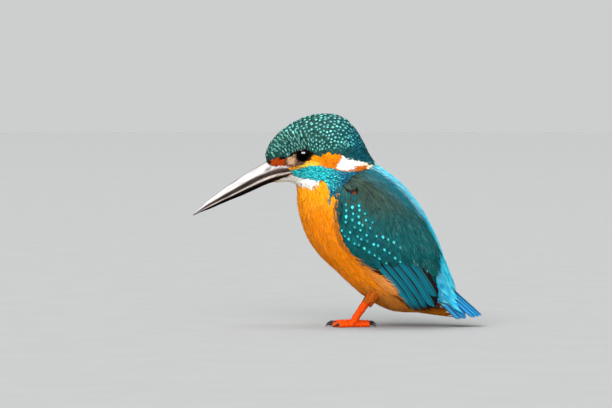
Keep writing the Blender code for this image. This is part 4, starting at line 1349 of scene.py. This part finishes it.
def make_bill():
    """The two mandibles: a painted silvery reflection over a dark edge above, near black horn under a painted
    pale highlight along the edge below.
    """
    rows = smooth_rows(BILL_ROWS, BILL_STEPS)
    upper, lower = [], []
    for x, culmen, edge, keel, half in rows:
        upper.append(mandible_ring(x, culmen, edge + 0.05, half, UPPER_SECTION))
        lower.append(mandible_ring(x, keel, edge - 0.08, half * 0.98, LOWER_SECTION)[::-1])
    upper, lower = np.array(upper), np.array(lower)
    nx, nz, long, high, deep = NOSTRIL
    slope = (upper[..., 2] - nz) - (upper[..., 0] - nx) * 0.35
    dent = np.exp(-((upper[..., 0] - nx) / long) ** 4 - (slope / high) ** 2)
    upper[..., 1] -= np.sign(upper[..., 1]) * dent * deep

    height = heights_of(UPPER_SECTION)
    dark_to = 0.30 - 0.14 * ramp(upper[..., :1], -36, -28)
    # Painted reflection: the upper mandible is pale above its dark edge and grey along the culmen.
    upper_tone = UPPER_RIM + (UPPER_PAINTED_REFLECTION - UPPER_RIM) * ramp(height - dark_to, 0, 0.22)
    upper_tone = upper_tone + (UPPER_RIDGE - upper_tone) * ramp(height, 0.86, 0.97)
    upper_tone = upper_tone * (1 - 0.9 * dent[..., None])
    rim_to = 0.12 + 0.16 * ramp(lower[..., :1], -42, -30)
    # Painted highlight: a pale cutting edge on the lower mandible's near black horn.
    lower_tone = LOWER_EDGE_HIGHLIGHT + (LOWER_HORN - LOWER_EDGE_HIGHLIGHT) * ramp(heights_of(LOWER_SECTION) - rim_to, 0, 0.14)

    glossy = horn_material("horn_upper", root_share=0.32, roughness=(0.34, 0.46), coat=0.2, specular=0.7)
    dull = horn_material("horn_lower", root_share=0.22, roughness=(0.5, 0.65), coat=0.0, specular=0.12)
    top = mandible("bill_upper_horn", upper, upper_tone, glossy)
    low = mandible("bill_lower_horn", lower, lower_tone, dull)
    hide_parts("bill_upper")
    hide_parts("bill_lower")


# ---------------------------------------------------------------- eyes

LID_HALVES = (3.5, 2.75)
LID_TILT = math.radians(10)
# From the outer rim to the inside, as shares of the opening and heights over the eyeball.
LID_PROFILE = [
    (1.40, 0.0), (1.24, 0.0), (1.12, 0.0), (1.05, 0.10), (0.99, 0.08), (0.96, -0.04), (0.97, -0.45),
]
LID_DEPTH = 0.4
LID_POINTS = 64


def eyeball_mesh(name, centre):
    edit = bmesh.new()
    bmesh.ops.create_uvsphere(edit, u_segments=48, v_segments=32, radius=EYE_RADIUS * MM)
    for vertex in edit.verts:
        vertex.co = Vector((vertex.co.x, vertex.co.z, vertex.co.y)) + centre * MM
    bmesh.ops.recalc_face_normals(edit, faces=edit.faces)
    return saved(edit, name)


def lid_mesh(name, surface, centre, side):
    """One rim of bare skin round the opening, from the face's feathers down to the eyeball."""
    points = []
    for turn in 2 * math.pi * np.arange(LID_POINTS) / LID_POINTS:
        a, b = LID_HALVES[0] * math.cos(turn), LID_HALVES[1] * math.sin(turn)
        for grow, rise in LID_PROFILE:
            u, v = a * grow, b * grow
            x = centre.x + u * math.cos(LID_TILT) - v * math.sin(LID_TILT)
            z = centre.z + u * math.sin(LID_TILT) + v * math.cos(LID_TILT)
            gap = (x - centre.x) ** 2 + (z - centre.z) ** 2
            ball = abs(centre.y) + math.sqrt(max(EYE_RADIUS**2 - min(gap, 13.0), 0.1)) + rise
            face = abs(side_points(surface, [x], [z], side)[0][0, 1]) - LID_DEPTH
            outer = min(max((grow - 1.04) / 0.2, 0.0), 1.0)
            points.append((x, side * (ball + (face - ball) * outer), z))
    width = len(LID_PROFILE)
    faces = []
    for i, j in itertools.product(range(LID_POINTS), range(width)):
        here, there = i * width, (i + 1) % LID_POINTS * width
        faces.append([here + j, here + (j + 1) % width, there + (j + 1) % width, there + j])
    return closed_mesh(name, points, faces)


def make_eyes(surface):
    gloss = eye_material()
    lid_skin = flesh_material("lid_skin", (0.022, 0.011, 0.008), (0.09, 0.045, 0.03), 0.5, 2600.0)
    for side, label in SIDES:
        centre = Vector((EYE_CENTRE[0], side * -EYE_CENTRE[1], EYE_CENTRE[2]))
        eye = place_piece(eyeball_mesh("eyeball_" + label, centre), gloss, sharp=180)
        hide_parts("eye_" + label)
        place_piece(lid_mesh("lid_" + label, surface, centre, side), lid_skin, sharp=180)


# ---------------------------------------------------------------- legs

THIGH, ANKLE = (17.0, -6.2, 15.6), (7.4, -7.4, 2.4)
# Toes of the left foot: name, heading in degrees, length, and length of claw.
TOES = [
    ("inner", -25.0, 7.4, 2.2), ("middle", 3.0, 9.6, 2.8), ("outer", 17.0, 8.6, 2.6),
    ("hind", 172.0, 6.8, 2.6),
]
TOE_RADIUS, TOE_HEIGHT = 1.22, 0.95


def swept(name, points, radii, around, scutes=0.0):
    """A tube along points with a radius at each, closed flat at both ends. Scutes are shallow steps across
    its upper side.
    """
    points, radii = np.array(points), np.array(radii)
    ways = np.gradient(points, axis=0)
    ways /= np.linalg.norm(ways, axis=1)[:, None]
    rings = []
    for i, (p, way, radius) in enumerate(zip(points, ways, radii)):
        side = np.cross(way, (0.0, 0.0, 1.0))
        side /= np.linalg.norm(side) + 1e-9
        up = np.cross(side, way)
        ring = []
        for k in range(around):
            turn = 2 * math.pi * k / around
            step = scutes * (i % 3) / 3 * max(0.0, math.sin(turn)) - scutes * 0.5 * (i % 4 == 0)
            r = radius * (1 + step)
            q = p + side * r * math.cos(turn) + up * r * math.sin(turn)
            ring.append((q[0], q[1], max(q[2], 0.0)))
        rings.append(ring)
    return loft(name, rings)


def toe_line(heading, length, count):
    """A line from the ankle along a heading: shares of its length, points and direction."""
    turn = math.radians(heading)
    way = np.array([-math.cos(turn), math.sin(turn), 0.0])
    start = np.array([ANKLE[0], ANKLE[1], 0.0])
    t = np.linspace(0, 1, count)
    points = start[None] + way[None] * (length * t)[:, None]
    points[:, 2] = TOE_HEIGHT + 0.35 * np.clip(1 - t * 3, 0, 1)
    return t, points, way


def make_trousers(rng):
    """Short feathers round the top of each leg."""
    slot, look = STYLE[BREAST]
    vanes = Vanes(5, 5)
    thigh, ankle = np.array(THIGH), np.array(ANKLE)
    axis = (ankle - thigh) / np.linalg.norm(ankle - thigh)
    side = np.cross(axis, (0.0, 1.0, 0.0))
    side /= np.linalg.norm(side)
    other = np.cross(axis, side)
    count = 190
    for mirror in (1, -1):
        turn, start = rng.uniform(0, 2 * math.pi, count), rng.uniform(-2.5, 3.6, count)
        spoke = side * np.cos(turn)[:, None] + other * np.sin(turn)[:, None]
        places = []
        for k in range(vanes.steps + 1):
            run = start + k * 0.8
            girth = 2.1 + 1.9 * np.clip(1 - (run + 1) / 6.5, 0, 1.3) ** 1.2
            places.append((thigh + axis * run[:, None] + spoke * girth[:, None]) * (1, mirror, 1))
        places = np.array(places)
        normals = np.broadcast_to(spoke * (1, mirror, 1), places.shape)
        ways = laid_flat(np.gradient(places, axis=0).reshape(-1, 3), normals.reshape(-1, 3))
        # The thigh feathers are dark rust: partly their own colour, partly painted shade where the legs come
        # out of the belly.
        tone = np.tile(TONE["rust_and_shade"], (count, 1))
        rows = [places, normals, ways.reshape(places.shape)]
        vanes.add(rows, rng.uniform(0.6, 0.9, count), "soft", (-0.3, 0.15), 0.2,
                  jitter(tone * 0.8, rng, 0.1), jitter(tone * 1.15, rng, 0.12), rng, fray=0.1)
    vanes.make("coat_thigh", plumage("vane_thigh", **look), slot, by_side=True)


def joined(name, meshes, flip):
    """Meshes as one, made for the left side and turned over to the right one if asked."""
    edit = bmesh.new()
    for mesh in meshes:
        edit.from_mesh(mesh)
    if flip:
        for vertex in edit.verts:
            vertex.co.y = -vertex.co.y
        bmesh.ops.reverse_faces(edit, faces=edit.faces)
    return saved(edit, name)


def shin_mesh():
    """The bare leg, bowed forward from the trousers to the ankle."""
    thigh, ankle = np.array(THIGH), np.array(ANKLE)
    knee = thigh + (ankle - thigh) * 0.45 + np.array((-0.9, 0, 0.2))
    t = np.linspace(0, 1, 22)[:, None]
    line = thigh * (1 - t) ** 2 + 2 * knee * t * (1 - t) + (ankle + (0, 0, 0.2)) * t**2
    radii = 1.95 - 0.62 * t[:, 0] + 0.25 * np.clip((t[:, 0] - 0.85) / 0.15, 0, 1)
    return swept("shin", line, radii, 20, 0.07)


def heel_mesh():
    run = np.linspace(0, 1, 9)
    line = [np.array(ANKLE) + (1.3 - 2.6 * u, 0, -0.55 + 0.3 * math.sin(math.pi * u)) for u in run]
    return swept("heel", line, [1.85 * math.sqrt(max(0.05, 1 - (2 * u - 1) ** 2)) for u in run], 20)


def toe_and_claw(heading, length, claw):
    """A padded toe along a heading in degrees, and the hooked claw at its end."""
    t, points, way = toe_line(heading, length, 30)
    swell = 1 - 0.20 * t + 0.16 * np.sin(t * math.pi * 3.2) ** 2
    swell *= np.sqrt(np.clip(1 - np.clip((t - 0.9) / 0.11, 0, 1) ** 2, 0.06, 1))
    u = np.linspace(0, 1, 12)
    hook = points[-1] + way * ((claw + 0.8) * u - 0.8)[:, None]
    hook[:, 2] = 1.05 + 0.45 * np.sin(math.pi * u) - 0.85 * u * u
    toe = swept("toe", points, TOE_RADIUS * swell, 18, 0.06)
    return toe, swept("claw", hook, 0.66 * (1 - u) ** 0.75 + 0.07, 14)


def make_legs():
    scaly = flesh_material("leg_scales", (0.62, 0.040, 0.0015), (0.86, 0.095, 0.003), 0.6, 2100.0, 0.0, 0.08)
    claw_horn = flesh_material("claw_horn", (0.012, 0.010, 0.009), (0.05, 0.04, 0.035), 0.3, 3000.0, 0.4)
    toes, claws = zip(*(toe_and_claw(*sizes) for _, *sizes in TOES))
    shin, heel = shin_mesh(), heel_mesh()
    for side, label in SIDES:
        flip = side > 0
        leg = place_piece(joined("leg_skin_" + label, [shin], flip), scaly)
        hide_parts("leg_" + label)
        foot = place_piece(joined("foot_skin_" + label, [heel, *toes], flip), scaly)
        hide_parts("foot_" + label)
        horn = place_piece(joined("claws_" + label, claws, flip), claw_horn, sharp=60)
        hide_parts(*["claw_" + label + "_" + name for name, *_ in TOES])


# ---------------------------------------------------------------- stage

# The camera and the lamps look at this point, and the picture is this wide there.
AIM = (-13.5, 0.0, 52.5)
VIEW_WIDTH = 263.2
CAMERA_AZIMUTH, CAMERA_ELEVATION = 2.0, 2.0
LENS, SENSOR = 200.0, 36.0
ROOM_LIGHT = 0.62
# Soft lamps: azimuth (0 is the camera's side, negative to its left), height, power and spread.
LIGHTS = [
    ("side", -46.0, 48.0, 1.2, 30.0), ("overhead", -100.0, 72.0, 2.6, 40.0), ("fill", 2.0, 7.0, 1.8, 40.0),
]
# The key is a wide soft box: azimuth, height, power, distance in metres, width and height in metres.
KEY = (0.0, 36.0, 4750.0, 30.0, 22.0, 11.0)


def aimed(data, azimuth, height, distance):
    """A lamp or camera that looks at the bird from a distance in metres."""
    obj = linked(data)
    turn, up = math.radians(azimuth), math.radians(height)
    way = Vector((math.sin(turn) * math.cos(up), -math.cos(turn) * math.cos(up), math.sin(up)))
    obj.location = Vector(AIM) * MM + way * distance
    obj.rotation_mode = "QUATERNION"
    obj.rotation_quaternion = way.to_track_quat("Z", "Y")
    return obj


def make_floor():
    edit = bmesh.new()
    bmesh.ops.create_grid(edit, x_segments=24, y_segments=24, size=6.0)
    floor = linked(saved(edit, "floor"))
    floor.data.materials.append(floor_material())
    floor.visible_glossy = False


def make_lights():
    world = bpy.data.worlds.new("soft_room")
    bpy.context.scene.world = world
    world.use_nodes = True
    back = world.node_tree.nodes["Background"]
    back.inputs["Color"].default_value = (0.985, 0.995, 1.0, 1.0)
    back.inputs["Strength"].default_value = ROOM_LIGHT
    world.cycles_visibility.glossy = False
    for name, azimuth, height, power, spread in LIGHTS:
        light = bpy.data.lights.new(name, "SUN")
        light.energy = power
        light.angle = math.radians(spread)
        lamp = aimed(light, azimuth, height, 1.0)
        lamp.visible_glossy = name == "overhead"
    azimuth, height, power, distance, wide, high = KEY
    light = bpy.data.lights.new("key", "AREA")
    light.energy = power
    light.shape = "RECTANGLE"
    light.size, light.size_y = wide, high
    aimed(light, azimuth, height, distance)


def make_camera():
    data = bpy.data.cameras.new("camera")
    data.lens, data.sensor_width = LENS, SENSOR
    data.clip_start, data.clip_end = 0.01, 50.0
    distance = VIEW_WIDTH * MM * LENS / SENSOR
    bpy.context.scene.camera = aimed(data, CAMERA_AZIMUTH, CAMERA_ELEVATION, distance)
    bpy.context.scene.view_settings.view_transform = "Standard"


# The coat's roots are picked from this many random points on the form, up to an x on the back and elsewhere.
CLOUD = 150000
BACK_END, COAT_END = 47.5, 44.0


def build():
    solids = [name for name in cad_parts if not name.startswith(SMALL_NODES)]
    form_mesh = union_form(solids)
    form = Surface(form_mesh)
    bpy.data.meshes.remove(form_mesh)
    make_skin(form)
    rng = np.random.default_rng(SEED)
    cloud = form.scatter(CLOUD, rng)
    kinds = tracts(cloud)
    clear_of_bill = cloud[:, 0] > -30.6 + np.clip(70 - cloud[:, 2], 0, 9) * 0.25
    keep = clear_of_bill & (cloud[:, 0] < np.where(kinds == BACK, BACK_END, COAT_END))
    cloud, kinds = cloud[keep], kinds[keep]
    make_crown(form, rng)
    for kind in TRACTS:
        make_tract(form, kind, cloud, kinds, rng)
    make_coverts(form, rng)
    make_barbs(form, cloud, kinds, rng)
    make_fringe(form, rng)
    make_notch(form, rng)
    make_flight(form, rng)
    make_tail(rng)
    make_bill()
    make_eyes(form)
    make_trousers(rng)
    make_legs()
    make_floor()
    make_lights()
    make_camera()


build()
